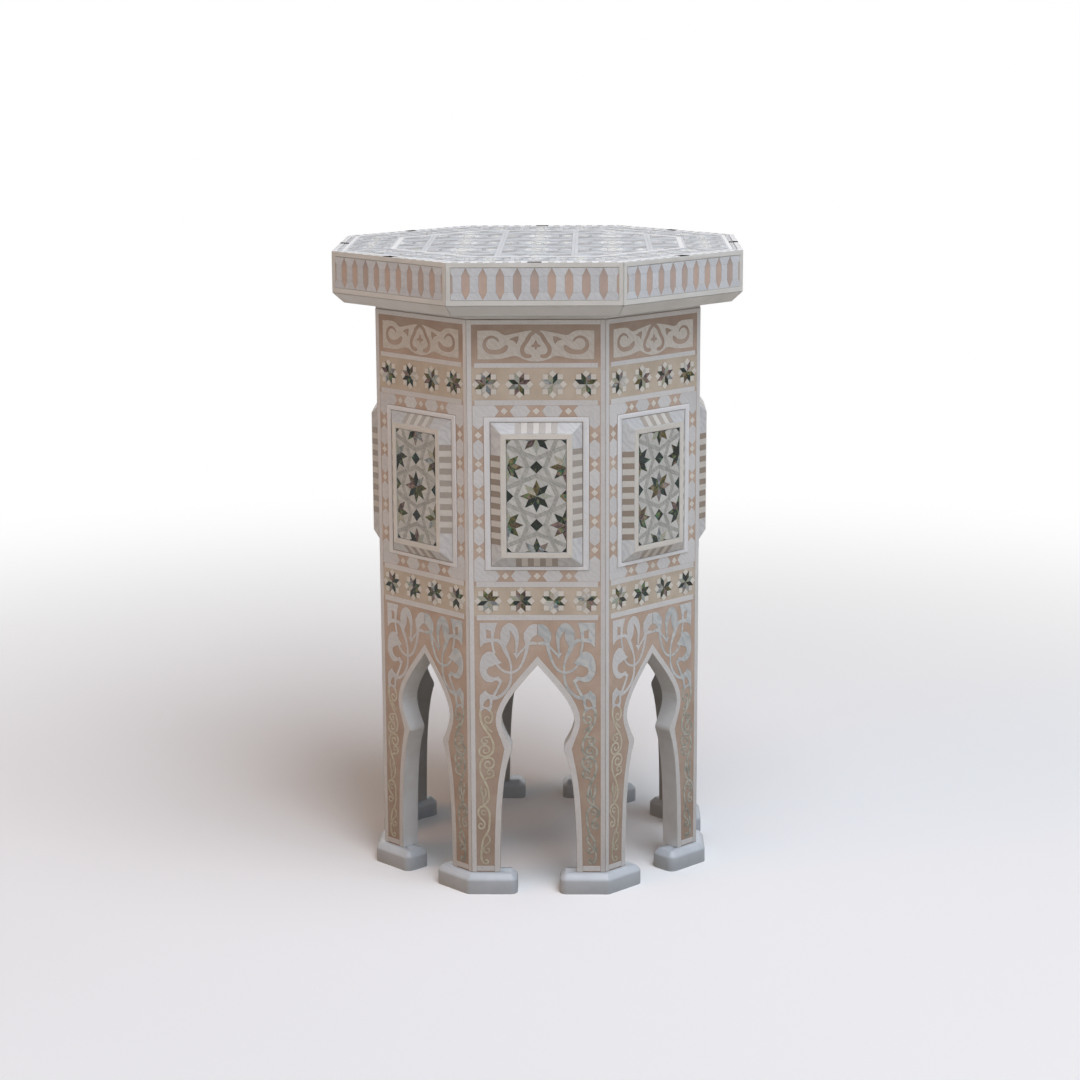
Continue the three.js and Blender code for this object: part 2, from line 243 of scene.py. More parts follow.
def abaloneFinish():
    # abalone: each chip a different dark swirl of green, blue, violet or olive, under a hard polish
    mat, add, place = newFinish("polishedAbalone")
    tone = add("Attribute", attribute_name="chipTone").outputs["Fac"]
    lay = add("VectorMath", [tone, (9.0, 5.0, 7.0)], operation="MULTIPLY")
    ownShell = add("VectorMath", [place, lay], operation="ADD")
    swirl = add("TexNoise", {"Vector": ownShell, "Scale": 1 / (6.5 * mm), "Detail": 2.5, "Distortion": 1.8})
    veins = add("TexNoise", {"Vector": ownShell, "Scale": 1 / (1.6 * mm), "Detail": 3.0, "Distortion": 1.2})
    drift = add("MapRange", [swirl, 0.3, 0.7, -0.085, 0.085])
    choice = add("Math", [tone, drift], operation="ADD")
    hue = stops(add("ValToRGB", [choice]), [(0.0, "#10140F"), (0.07, "#1B2B20"), (0.14, "#0E1210"),
                                            (0.21, "#223A36"), (0.27, "#1C1F26"), (0.33, "#36452B"),
                                            (0.39, "#665C33"), (0.45, "#3E302B"), (0.51, "#6A585A"),
                                            (0.57, "#8E7566"), (0.63, "#74828A"), (0.70, "#AEB1AD"),
                                            (0.78, "#9DA38C"), (0.86, "#C3B6A8"), (0.93, "#C9C9C6"),
                                            (1.0, "#D2CFCA")])
    deep = add("MapRange", [tone, 0.45, 0.72, 1.0, 0.2])                     # pale shells are calmer
    swing = add("MapRange", [veins, 0.32, 0.68, -0.5, 0.8])
    shade = add("Math", [swing, deep, 1.0], operation="MULTIPLY_ADD")
    swirled = add("HueSaturation", {"Value": shade, "Color": hue})
    sparks = add("TexNoise", {"Vector": ownShell, "Scale": 1 / (7.5 * mm), "Detail": 1.0, "Distortion": 0.6})
    lit = add("MapRange", [sparks, 0.57, 0.66, 0.0, 0.6])
    flash = add("Math", [lit, deep], operation="MULTIPLY")
    fire = stops(add("ValToRGB", [swirl]), [(0.36, "#43887F"), (0.44, "#5F9757"), (0.5, "#84965F"),
                                            (0.56, "#A99A68"), (0.64, "#A98A80")])
    toned = add("Mix", {"Factor": flash, "A": swirled, "B": fire}, data_type="RGBA")
    skin = polish(add, veins, 0.15, 0.06, {"Base Color": toned, "IOR": 1.53, "Roughness": 0.24,
                                           "Coat Weight": 0.2, "Coat Roughness": 0.08})
    return sealed(mat, skin)

abalone = abaloneFinish()
ebonySheen = {"IOR": 1.3, "Roughness": 1.0, "Specular IOR Level": 0.04}

def ebonyFinish():
    # oiled ebony: nearly black, close-grained and quite matt
    mat, add, place = newFinish("oiledEbony")
    grain = add("TexNoise", {"Vector": place, "Scale": 1 / (0.7 * mm), "Detail": 3.0})
    hue = stops(add("ValToRGB", [grain]), [(0.35, "#141212"), (0.65, "#25211F")])
    return sealed(mat, add("BsdfPrincipled", {"Base Color": hue, **ebonySheen}))

ebony = ebonyFinish()

starBands = ((0.4857, 0.0155), (0.283, 0.0145))    # middle and half height in metres of the paler ground
def groundColour(add, place):
    # tinted filler: mixed by hand and rubbed down, so it clouds over centimetres and has pin holes
    cloud = add("TexNoise", {"Vector": place, "Scale": 1 / (26 * mm), "Detail": 4.0, "Roughness": 0.6})
    pink = stops(add("ValToRGB", [cloud]), [(0.3, "#B9A18F"), (0.48, "#C3AB99"), (0.6, "#C9B4A4"),
                                            (0.75, "#C1A996")])
    beige = stops(add("ValToRGB", [cloud]), [(0.3, "#BFAF9C"), (0.48, "#C9BAA7"), (0.6, "#CFC1AF"),
                                             (0.75, "#C5B5A1")])
    height = add("SeparateXYZ", [place]).outputs["Z"]
    upper, lower = (add("Math", [height, *rows], operation="COMPARE") for rows in starBands)
    batch = add("Math", [upper, lower], operation="ADD")  # a second batch behind the star rows
    fresh = add("Mix", {"Factor": batch, "A": pink, "B": beige}, data_type="RGBA")
    foot = add("MapRange", [height, 0.02, 0.22, 0.78, 1.0])                  # painted shade: darker towards the floor
    crown = add("MapRange", [height, 0.5, 0.53, 1.0, 0.74])                  # painted shadow under the cornice: darker towards the top
    paintedGroundShade = add("Math", [foot, crown], operation="MULTIPLY")
    hue = add("HueSaturation", {"Value": paintedGroundShade, "Color": fresh})
    specks = add("TexNoise", {"Vector": place, "Scale": 1 / (0.8 * mm), "Detail": 2.0})
    nook = add("AmbientOcclusion", {"Distance": 1.3 * mm}, samples=6).outputs["AO"]
    glueLineAndShade = add("MapRange", [nook, 0.72, 0.97, 0.45, 0.0])                  # glue lines along the chips, and painted shade in the creases beside them
    lined = add("Mix", {"Factor": glueLineAndShade, "A": hue, "B": "#7B6A5C"}, data_type="RGBA")
    return lined, specks

def peachFinish():
    # filler only on the outer face, where the normal points away from the axis; the rest is painted white
    mat, add, place = newFinish("peachFillerGround")
    hue, specks = groundColour(add, place)
    patch = add("TexNoise", {"Vector": place, "Scale": 1 / (30 * mm), "Detail": 4.0})
    paint = stops(add("ValToRGB", [patch]), [(0.3, "#DAD8D5"), (0.5, "#E4E3E2"), (0.72, "#E9E9E9")])
    flat = add("VectorMath", [place, (1.0, 1.0, 0.0)], operation="MULTIPLY")
    outward = add("VectorMath", [flat], operation="NORMALIZE")
    shape = add("NewGeometry").outputs["True Normal"]
    facing = add("VectorMath", [outward, shape], operation="DOT_PRODUCT")
    outside = add("Math", [facing, 0.8], operation="GREATER_THAN")
    inside = add("MapRange", [facing, -0.85, -0.5, 0.66, 1.0])               # painted shade on the faces that look in towards the middle
    painted = add("HueSaturation", {"Value": inside, "Color": paint})
    colour = add("Mix", {"Factor": outside, "A": painted, "B": hue}, data_type="RGBA")
    rough = add("MapRange", {"Value": outside, "To Min": 0.4, "To Max": 0.5})
    return sealed(mat, polish(add, specks, 0.3, 0.08, {"Base Color": colour, "Roughness": rough, "IOR": 1.5}))

def fillerFinish():
    # the apron's bars: each mixed a little pinker or greyer, and darker and greyer towards the upper tip
    mat, add, place = newFinish("apronBarFiller")
    tone = add("Attribute", attribute_name="chipTone").outputs["Fac"]
    cloud = add("TexNoise", {"Vector": place, "Scale": 1 / (9 * mm), "Detail": 4.0, "Roughness": 0.6})
    specks = add("TexNoise", {"Vector": place, "Scale": 1 / (0.8 * mm), "Detail": 2.0})
    blend = add("Math", [tone, 0.4, cloud], operation="MULTIPLY_ADD")
    hue = stops(add("ValToRGB", [blend]), [(0.1, "#B6A59B"), (0.45, "#C2AB9E"), (0.6, "#C8B0A0"),
                                           (0.95, "#BCA79B")])
    height = add("SeparateXYZ", [place]).outputs["Z"]
    upperTipDarkening = add("MapRange", [height, 0.5855, 0.5945, 0.0, 0.5])
    toned = add("Mix", {"Factor": upperTipDarkening, "A": hue, "B": "#8B8682"}, data_type="RGBA")
    return sealed(mat, polish(add, specks, 0.3, 0.08, {"Base Color": toned, "IOR": 1.5, "Roughness": 0.45}))

lip = {"beat": 11.2, "black": 6.3, "above": 0.5988}  # two dashes and half a black mark in mm; height in m
def lipDashes(add, place):
    # the top's dashes run on over the rim's lip: white and grey shell, and black in the middle of each side
    spot = add("SeparateXYZ", [place]).outputs
    bearing = add("Math", [spot["Y"], spot["X"]], operation="ARCTAN2")
    lean = add("Math", [bearing, eighth, -eighth], operation="WRAP")
    slant = add("Math", [lean], operation="SINE")
    plan = add("VectorMath", [place, (1.0, 1.0, 0.0)], operation="MULTIPLY")
    span = add("VectorMath", [plan], operation="LENGTH")
    along = add("Math", [slant, span], operation="MULTIPLY")
    off = add("Math", [along], operation="ABSOLUTE")  # distance from the middle of the side
    beats = add("Math", [off, 1 / (lip["beat"] * mm), -lip["black"] / lip["beat"]], operation="MULTIPLY_ADD")
    beat = add("Math", [beats], operation="FRACT")
    pale = add("Math", [beat, 0.5], operation="LESS_THAN")
    black = add("Math", [off, lip["black"] * mm], operation="LESS_THAN")
    shells = add("Mix", {"Factor": pale, "A": "#A8A5A2", "B": "#E4E4E4"}, data_type="RGBA")
    high = add("Math", [spot["Z"], lip["above"]], operation="GREATER_THAN")
    lie = add("SeparateXYZ", [add("NewGeometry").outputs["Normal"]])
    flat = add("Math", [lie.outputs["Z"], 0.6], operation="GREATER_THAN")
    onLip = add("Math", [high, flat], operation="MULTIPLY")
    return shells, onLip, add("Math", [onLip, black], operation="MULTIPLY")

def lacquerFinish(name, colours, dashed=False):
    # white lacquer brushed over wood: faint brush lines, a soft gloss, and thinner paint along the edges
    mat, add, place = newFinish(name)
    stretch = add("Mapping", {"Vector": place, "Scale": (0.12, 0.12, 1.0)})
    strokes = add("TexNoise", {"Vector": stretch, "Scale": 1 / (1.1 * mm), "Detail": 3.0})
    patch = add("TexNoise", {"Vector": place, "Scale": 1 / (34 * mm), "Detail": 4.0, "Roughness": 0.6})
    paint = stops(add("ValToRGB", [patch]), colours)
    flatNormal = add("NewGeometry").outputs["Normal"]
    softNormal = add("Bevel", {"Radius": 0.9 * mm}, samples=4)
    sameWay = add("VectorMath", [flatNormal, softNormal], operation="DOT_PRODUCT")
    edge = add("MapRange", [sameWay, 0.99, 0.86, 0.0, 1.0])
    rub = add("MapRange", [patch, 0.42, 0.66])
    worn = add("Math", [edge, rub], operation="MULTIPLY")
    wornSoft = add("Math", [worn, 0.5], operation="MULTIPLY")
    colour = add("Mix", {"Factor": wornSoft, "A": paint, "B": "#A89A88"}, data_type="RGBA")
    if dashed:
        shells, onLip, inked = lipDashes(add, place)
        colour = add("Mix", {"Factor": onLip, "A": colour, "B": shells}, data_type="RGBA")
    skin = polish(add, strokes, 0.25, 0.06, {"Base Color": colour, "IOR": 1.5, "Roughness": 0.38,
                                             "Coat Weight": 0.2, "Coat Roughness": 0.18})
    if dashed:
        ebonyLike = add("BsdfPrincipled", {"Base Color": "#1D1A19", **ebonySheen})
        skin = add("MixShader", [inked, skin, ebonyLike])
    return sealed(mat, skin)

def woodFinish():
    # sawn softwood: growth rings a few millimetres apart, finer fibres between
    mat, add, place = newFinish("sawnCarcassWood")
    stretch = add("Mapping", {"Vector": place, "Scale": (1.0, 1.0, 0.08)})
    rings = add("TexWave", {"Vector": stretch, "Scale": 1 / (28 * mm), "Distortion": 5.0, "Detail": 3.0,
                            "Detail Scale": 1.5})
    fibres = add("TexNoise", {"Vector": stretch, "Scale": 1 / (0.9 * mm), "Detail": 3.0})
    both = add("Mix", {"Factor": 0.35, "A": rings.outputs["Fac"], "B": fibres})
    hue = stops(add("ValToRGB", [both]), [(0.15, "#96784F"), (0.6, "#C2A77F")])
    return sealed(mat, polish(add, fibres, 0.4, 0.15, {"Base Color": hue, "IOR": 1.5, "Roughness": 0.72}))

whiteLacquer = lacquerFinish("brushedWhiteLacquer", [(0.3, "#CDCAC6"), (0.5, "#D5D4D1"), (0.72, "#DADAD8")])
rimLacquer = lacquerFinish("creamRimLacquer", [(0.3, "#D2CFC8"), (0.5, "#D9D7D1"), (0.72, "#DEDCD7")],
                           dashed=True)
# painted light: the feet's lacquer is a cooler copy of the white, for the bluish skylight on them
footLacquer = lacquerFinish("footLacquerWithPaintedSkyTint", [(0.3, "#C2C8CE"), (0.5, "#CBD1D7"), (0.72, "#D2D8DE")])
peachGround, peachBars, bareWood = peachFinish(), fillerFinish(), woodFinish()
finishOfNode = {"apron_rail": rimLacquer, "cornice_moulding": whiteLacquer, "neck_board": whiteLacquer,
                "foot": footLacquer, "side_panel": peachGround, "medallion_block": blockPearl,
                "medallion_tile": motherOfPearl, "top_board": topGrey, "corner_block": bareWood}
easedEdges = {"apron_rail": 0.6, "cornice_moulding": 0.5, "neck_board": 0.9, "medallion_block": 0.6}  # in mm
for node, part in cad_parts.items():
    kind = node.rstrip("_12345678")
    for seat in part.material_slots:
        seat.link = "OBJECT"
        seat.material = finishOfNode[kind]
    if kind in easedEdges:
        part.modifiers.new("weld", "WELD").merge_threshold = touching
        ease = part.modifiers.new("ease", "BEVEL")
        ease.width, ease.segments, ease.angle_limit = easedEdges[kind] * mm, 3, sharpOver
        ease.limit_method = "ANGLE"
print("stage: finishes are mixed and the packed parts wear them")


# cutting and laying; all flat work is drawn in mm and lies at the origin until it goes to its side
seam, seamAtTip = 0.14, 0.1  # mm of glue between two chips; what it takes off a diamond's tips

def pick(*things):
    bpy.ops.object.select_all(action="DESELECT")
    for thing in things:
        thing.select_set(True)
    bpy.context.view_layer.objects.active = things[0]

def sawOff(x, y, nx, ny, fill=False):              # what lies beyond this line goes
    bpy.ops.mesh.select_all(action="SELECT")
    bpy.ops.mesh.bisect(plane_co=(x * mm, y * mm, 0), plane_no=(nx, ny, 0), use_fill=fill, clear_outer=True,
                        threshold=touching)

def thicken(chip, finish, depth):                  # a flat shape in edit mode becomes a chip with eased edges
    bpy.ops.mesh.select_all(action="SELECT")
    bpy.ops.transform.translate(value=(0, 0, -depth["sunk"] * mm))
    thick = (depth["sunk"] + depth["proud"]) * mm
    bpy.ops.mesh.extrude_region_move(TRANSFORM_OT_translate={"value": (0, 0, thick)})
    bpy.ops.mesh.bevel(offset=depth["soft"] * mm, segments=1, affect="EDGES")
    bpy.ops.mesh.select_all(action="SELECT")
    bpy.ops.mesh.normals_make_consistent(inside=False)
    bpy.ops.object.mode_set(mode="OBJECT")
    chip.data.materials.append(finish)
    return chip

def cutChip(corners, finish, depth):               # a straight-sided chip, sawn out of a square side by side
    reach = max(max(abs(x), abs(y)) for x, y in corners) + 2
    bpy.ops.object.select_all(action="DESELECT")
    bpy.ops.mesh.primitive_plane_add(size=2 * reach * mm, location=(0, 0, 0))
    chip = bpy.context.object
    bpy.ops.object.mode_set(mode="EDIT")
    for (x0, y0), (x1, y1) in zip(corners, corners[1:] + corners[:1]):
        run = math.hypot(x1 - x0, y1 - y0)
        nx, ny = (y1 - y0) / run, -(x1 - x0) / run
        sawOff(x0 - nx * seam / 2, y0 - ny * seam / 2, nx, ny)
    return thicken(chip, finish, depth)

def diamondChip(radius, finish, depth, squash=(1, 1)):  # a diamond or square, from a circle of four sides
    bpy.ops.object.select_all(action="DESELECT")
    bpy.ops.mesh.primitive_circle_add(vertices=4, radius=radius * mm, fill_type="NGON", location=(0, 0, 0))
    chip = bpy.context.object
    bpy.ops.object.mode_set(mode="EDIT")
    bpy.ops.mesh.select_all(action="SELECT")
    bpy.ops.transform.resize(value=(*squash, 1), center_override=(0, 0, 0))
    return thicken(chip, finish, depth)

def between(a, b, c, d, q):                        # the share q of a smooth way from b to c
    return 0.5 * (2 * b + (c - a) * q + (2 * a - 5 * b + 4 * c - d) * q ** 2 + (3 * b - a - 3 * c + d) * q ** 3)

def wave(points, closed, steps=4):                 # a smooth line; a point that ends in "c" is a corner
    line = []
    n = len(points)
    for i in range(n if closed else n - 1):
        p = [points[(i + k) % n] if closed else points[min(max(i + k, 0), n - 1)] for k in (-1, 0, 1, 2)]
        if p[1][-1] == "c":
            p[0] = p[1]
        if p[2][-1] == "c":
            p[3] = p[2]
        size = len([v for v in p[1] if v != "c"])
        straight = p[1][-1] == "c" and p[2][-1] == "c"
        for s in range(1 if straight else steps):
            line.append(tuple(between(*values, s / steps) for values in list(zip(*p))[:size]))
    if not closed:
        line.append(tuple(v for v in points[-1] if v != "c"))
    return line

def band(points, steps=4, blunt=0.45):             # the outline of a vine: points are x, y, width
    line = wave(points, False, steps)
    left, right = [], []
    for i, (x, y, w) in enumerate(line):
        a, b = line[max(i - 1, 0)], line[min(i + 1, len(line) - 1)]
        run = math.hypot(b[0] - a[0], b[1] - a[1]) or 1
        nx, ny = -(b[1] - a[1]) / run, (b[0] - a[0]) / run
        left.append((x + nx * w / 2, y + ny * w / 2))
        right.append((x - nx * w / 2, y - ny * w / 2))
    def nose(end, before):
        run = math.hypot(end[0] - before[0], end[1] - before[1]) or 1
        return tuple(end[a] + (end[a] - before[a]) / run * end[2] * blunt for a in (0, 1))
    return left + [nose(line[-1], line[-2])] + right[::-1] + [nose(line[0], line[1])]

def sawPlate(outlines, finish, depth):             # a fretted plate: its rim first, then its holes
    sheet = bpy.data.curves.new("plate", "CURVE")
    sheet.dimensions, sheet.fill_mode = "2D", "BOTH"
    soft = depth["soft"]
    sheet.extrude = (depth["sunk"] + depth["proud"]) / 2 * mm - soft * mm
    sheet.bevel_depth, sheet.bevel_resolution, sheet.offset = soft * mm, depth.get("rounds", 0), -soft * mm
    for outline in outlines:
        run = sheet.splines.new("POLY")
        run.points.add(len(outline) - 1)
        for spot, (x, y) in zip(run.points, outline):
            spot.co = (x * mm, y * mm, 0, 1)
        run.use_cyclic_u = True
    plate = bpy.data.objects.new("plate", sheet)
    bpy.context.collection.objects.link(plate)
    pick(plate)
    bpy.ops.object.convert(target="MESH")
    plate = bpy.context.object
    bpy.ops.object.mode_set(mode="EDIT")
    bpy.ops.mesh.select_all(action="SELECT")
    bpy.ops.mesh.remove_doubles(threshold=touching)
    bpy.ops.transform.translate(value=(0, 0, (depth["proud"] - depth["sunk"]) / 2 * mm))
    bpy.ops.mesh.normals_make_consistent(inside=False)
    bpy.ops.object.mode_set(mode="OBJECT")
    plate.data.materials.append(finish)
    return plate

def joinUp(things, name):
    pick(*things)
    if len(things) > 1:
        bpy.ops.object.join()
    whole = bpy.context.object
    whole.name = name
    return whole

def turned(degrees):
    return Matrix.Rotation(math.radians(degrees), 4, "Z")

def moved(x, y, z=0.0):
    return Matrix.Translation((x * mm, y * mm, z * mm))

def copyOf(thing, move):                           # with a mesh of its own, moved
    copy = thing.copy()
    copy.data = thing.data.copy()
    copy.data.transform(move)
    bpy.context.collection.objects.link(copy)
    return copy

def laid(chip, spots):                             # copies of a chip; spots are x, y in mm and a turn
    copies = [copyOf(chip, moved(x, y) @ turned(turn)) for x, y, turn in spots]
    bpy.data.objects.remove(chip)
    return copies

def number(things):                                # so that every chip can have a tone of its own
    for i, thing in enumerate(things):
        mark = thing.data.attributes.new("chipNumber", "INT", "POINT")
        mark.data.foreach_set("value", [i] * len(thing.data.vertices))
    return things

def chipNumbers(thing):
    ids = [0] * len(thing.data.vertices)
    thing.data.attributes["chipNumber"].data.foreach_get("value", ids)
    return ids

def giveTones(thing, tones, seed):
    dice = random.Random(seed)
    ids = chipNumbers(thing)
    drawn = [dice.uniform(*tones) for i in range(max(ids) + 1)]
    mark = thing.data.attributes.new("chipTone", "FLOAT", "POINT")
    mark.data.foreach_set("value", [drawn[i] for i in ids])

def settle(piece, name):                 # its name and its body
    piece.name = piece.data.name = name
    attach(piece, "root")

def goRound(things, name, seat, tones=(-1.0, 1.0), trim=None):     # one side's inlay, on all sides
    first = joinUp(number(things), name)
    if trim:
        trim(first)
    for side in range(1, 9):
        toSide = turned(45 * (side - 1)) @ moved(0, -seat["reach"]) @ Matrix.Rotation(math.radians(90), 4, "X")
        copy = copyOf(first, toSide)
        giveTones(copy, tones, name + str(side))
        settle(copy, name + "_" + str(side))
    bpy.data.objects.remove(first)

def ring(count, turn=0.0):
    return [turn + i * 360 / count for i in range(count)]

def polar(radius, turn):
    return radius * math.cos(math.radians(turn)), radius * math.sin(math.radians(turn))

def box(x0, y0, x1, y1):
    return [(x0, y0), (x1, y0), (x1, y1), (x0, y1)]

def mirrored(points):
    return [(-p[0],) + tuple(p[1:]) for p in points[::-1]]

def sawAlong(thing, cuts):                         # cuts are a point and the way that goes
    pick(thing)
    bpy.ops.object.mode_set(mode="EDIT")
    for spot, way in cuts:
        sawOff(*spot, *way, fill=True)
    bpy.ops.object.mode_set(mode="OBJECT")


# wall strips
wall = {"reach": 152.5, "sunk": 0.3, "proud": 0.22, "soft": 0.1}
strips = {"edge": (58.6, 63.0), "foot": 19.6, "crown": 544.3, "barHalf": 56.4,
          "rows": [(500.5, 505.0), (466.0, 471.0), (296.2, 301.4), (264.6, 269.8)], "headRow": (539.9, 544.2),
          "legBase": (41.9, 58.4, 20.4, 25.4)}
(edgeIn, edgeOut), (headLow, headHigh) = strips["edge"], strips["headRow"]
edges = [cutChip(box(a, strips["foot"], b, strips["crown"]), bleachedBone, wall)
         for a, b in ((edgeIn, edgeOut), (-edgeOut, -edgeIn))]
rows = [cutChip(box(-strips["barHalf"], low, strips["barHalf"], high), bleachedBone, wall)
        for low, high in strips["rows"]]
rows.append(cutChip(box(-edgeIn, headLow, edgeIn, headHigh), bleachedBone, wall))
goRound(edges, "edge_strips", wall)
goRound(rows, "row_strips", wall)

# the opening's outline on the right, from the foot up, as half width and height
archLine = [(36.3, 19.6), (36.02, 40.97), (35.5, 60.54), (34.71, 78.07), (33.61, 93.61), (32.15, 107.23),
            (30.28, 118.98), (27.98, 128.91), (25.2, 137.1), (24.52, 138.85), (24.3, 140.6), (24.52, 142.35),
            (25.2, 144.1), (27.35, 147.81), (28.83, 150.51), (30.36, 153.64), (31.82, 157.09), (33.04, 160.75),
            (33.89, 164.53), (34.2, 168.3), (33.31, 174.53), (30.83, 181.1), (27.08, 187.91), (22.36, 194.85),
            (16.98, 201.82), (11.26, 208.7), (5.5, 215.4), (0.0, 221.8)]
archTrim = {"width": 5.4, "lip": 0.15, "waist": (31.6, 140.4), "waistFrom": 129.5, "waistTo": 148.5,
            "peak": 8.5}

def besideArch(off):
    line = []
    for i, (x, z) in enumerate(archLine[:-1]):
        a, b = archLine[max(i - 1, 0)], archLine[i + 1]
        run = math.hypot(b[0] - a[0], b[1] - a[1])
        line.append((x + (b[1] - a[1]) / run * off, z if i == 0 else z - (b[0] - a[0]) / run * off))
    return line

def bothHands(line):
    return line + mirrored(line[:-1])

apex = archLine[-1][1]
inner = besideArch(archTrim["lip"]) + [(0.0, apex + archTrim["lip"] * 1.5)]
outer = [p for p in besideArch(archTrim["width"]) if not archTrim["waistFrom"] < p[1] < archTrim["waistTo"]]
outer = sorted(outer + [archTrim["waist"]], key=lambda p: p[1])
outer = [p for p in outer if p[0] > 0.5] + [(0.0, apex + archTrim["peak"])]
goRound([sawPlate([bothHands(inner) + bothHands(outer)[::-1]], bleachedBone, wall)], "arch_trim", wall)
x0, x1, y0, y1 = strips["legBase"]
legStrips = [cutChip(box(a, y0, b, y1), bleachedBone, wall) for a, b in ((x0, x1), (-x1, -x0))]
goRound(legStrips, "leg_base_strips", wall)
print("stage: strips round the walls and arches")


# feet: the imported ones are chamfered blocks, these have the soft rounded edges that paint and sanding leave
feet = {"outer": 161.0, "inner": 132.5, "end": -19.97, "height": 19.0, "soft": 5.2, "tuck": 6.5, "nose": 6.0,
        "heel": 7.0, "crotch": 2.0, "worn": 1.5, "arcSteps": 5}

def roundOff(corners):                             # arcs instead of the corners; corners are x, y, radius
    line = []
    for i, (x, y, radius) in enumerate(corners):
        here = Vector((x, y))
        a, b = [(Vector(corners[k % len(corners)][:2]) - here).normalized() for k in (i - 1, i + 1)]
        half = a.angle(b) / 2
        centre = here + (a + b).normalized() * radius / math.sin(half)
        start, end = [here + c * radius / math.tan(half) - centre for c in (a, b)]
        for s in range(feet["arcSteps"] + 1):
            line.append(tuple(centre + (start.lerp(end, s / feet["arcSteps"])).normalized() * radius))
    return line

def footEnd(face):                                 # the right end of a foot's face this far from the axis
    return (face * math.sin(eighth) + feet["end"] * math.cos(eighth),
            -face * math.cos(eighth) + feet["end"] * math.sin(eighth))

(outX, outY), (inX, inY), heel = footEnd(feet["outer"]), footEnd(feet["inner"]), feet["heel"]
footPlan = [(0, -feet["outer"] / math.cos(eighth), feet["nose"]), (outX, outY, heel), (inX, inY, heel),
            (0, -feet["inner"] / math.cos(eighth), feet["crotch"]), (-inX, inY, heel), (-outX, outY, heel)]
footDepth = {"sunk": feet["tuck"], "proud": feet["height"], "soft": feet["soft"]}
block = sawPlate([roundOff(footPlan)], footLacquer, footDepth)
pick(block)
bpy.ops.object.mode_set(mode="EDIT")
bpy.ops.mesh.select_mode(type="EDGE")
bpy.ops.mesh.select_all(action="DESELECT")
bpy.ops.mesh.edges_select_sharp(sharpness=sharpOver)
bpy.ops.mesh.bevel(offset=feet["worn"] * mm, segments=3, affect="EDGES")
bpy.ops.mesh.select_mode(type="VERT")
bpy.ops.mesh.select_all(action="SELECT")
bpy.ops.mesh.bisect(plane_co=(0, 0, 0), plane_no=(0, 0, 1), use_fill=True, clear_inner=True, threshold=touching)
bpy.ops.object.mode_set(mode="OBJECT")
bpy.ops.object.shade_smooth_by_angle(angle=smoothUnder)
for corner in range(1, 9):
    foot = copyOf(block, turned(45 * corner - 22.5))
    settle(foot, "soft_foot_" + str(corner))
    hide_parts("foot_" + str(corner))
bpy.data.objects.remove(block)
print("stage: feet")


# rows of eight-petal stars
starRow = {"heights": [485.4, 283.2], "across": [-45.5, -15.2, 15.2, 45.5], "tip": 11.5, "square": 4.9,
           "tones": (0.0, 0.97)}

def petalSide(tip):
    return tip / (2 * math.cos(eighth))

def petalCorners(side):                            # a rhomb with its sharp corner at the star's middle
    x, y = side * math.cos(eighth), side * math.sin(eighth)
    return [(0, 0), (x, -y), (2 * x, 0), (x, y)]

centres = [(u, v) for v in starRow["heights"] for u in starRow["across"]]
petal = cutChip(petalCorners(petalSide(starRow["tip"])), abalone, wall)
goRound(laid(petal, [(u, v, turn) for u, v in centres for turn in ring(8, 22.5)]), "star_petals", wall,
        starRow["tones"])
squareHalf = starRow["square"] / math.sqrt(2)
notch = petalSide(starRow["tip"]) + squareHalf
notches = [(*polar(notch, turn), turn) for turn in ring(8)]
squareSpots = [(u + x, v + y, turn) for u, v in centres for x, y, turn in notches]
squares = laid(diamondChip(squareHalf - seamAtTip, creamBone, wall), squareSpots)
goRound(squares, "star_squares", wall)


# border of hexagons and diamonds round the medallion
border = {"rowHeights": [460.75, 306.75], "rowHex": [-14.7, 14.7], "rowDiamonds": [-29.3, 0, 29.3],
          "colHex": [425.0, 398.2, 371.6, 344.8], "colDiamonds": [438.5, 411.7, 385.0, 358.2, 331.4],
          "column": 53.2, "diamond": 3.4, "hexLong": 9.6, "hexFlat": 5.6, "hexHalf": 5.2, "colStretch": 1.04,
          "colSlim": 0.9, "cornerTips": (443.9, 326.0), "cornerAcross": (33.8, 38.0, 48.3, 58.1),
          "cornerPoint": 4.2}
column, rowHeights = border["column"], border["rowHeights"]
long, flat, half = border["hexLong"], border["hexFlat"], border["hexHalf"]
hexagon = [(long, 0), (flat, half), (-flat, half), (-long, 0), (-flat, -half), (flat, -half)]
rowHexes = laid(cutChip(hexagon, motherOfPearl, wall), [(u, v, 0) for v in rowHeights
                                                        for u in border["rowHex"]])
slim = [(x * border["colStretch"], y * border["colSlim"]) for x, y in hexagon]
colHexes = laid(cutChip(slim, motherOfPearl, wall), [(u, v, 90) for v in border["colHex"]
                                                     for u in (-column, column)])
goRound(rowHexes + colHexes, "border_hexagons", wall)
diamonds = [(u, v, 0) for v in rowHeights for u in border["rowDiamonds"]]
diamonds += [(u, v, 0) for v in border["colDiamonds"] for u in (-column, column)]
goRound(laid(diamondChip(border["diamond"], creamBone, wall), diamonds), "border_diamonds", wall)

ells = []
start, arm, narrow, wide = border["cornerAcross"]
for mid, tip, up in zip(rowHeights, border["cornerTips"], (1, -1)):          # an L whose two arms end in points
    over, under, blunt = mid + up * half, mid - up * half, tip + up * border["cornerPoint"]
    shape = [(start, mid), (arm, over), (wide, over), (wide, blunt), (column, tip), (narrow, blunt),
             (narrow, under), (arm, under)]
    ells += [sawPlate([line], motherOfPearl, wall) for line in (shape, [(-x, z) for x, z in shape])]
goRound(ells, "border_corners", wall)

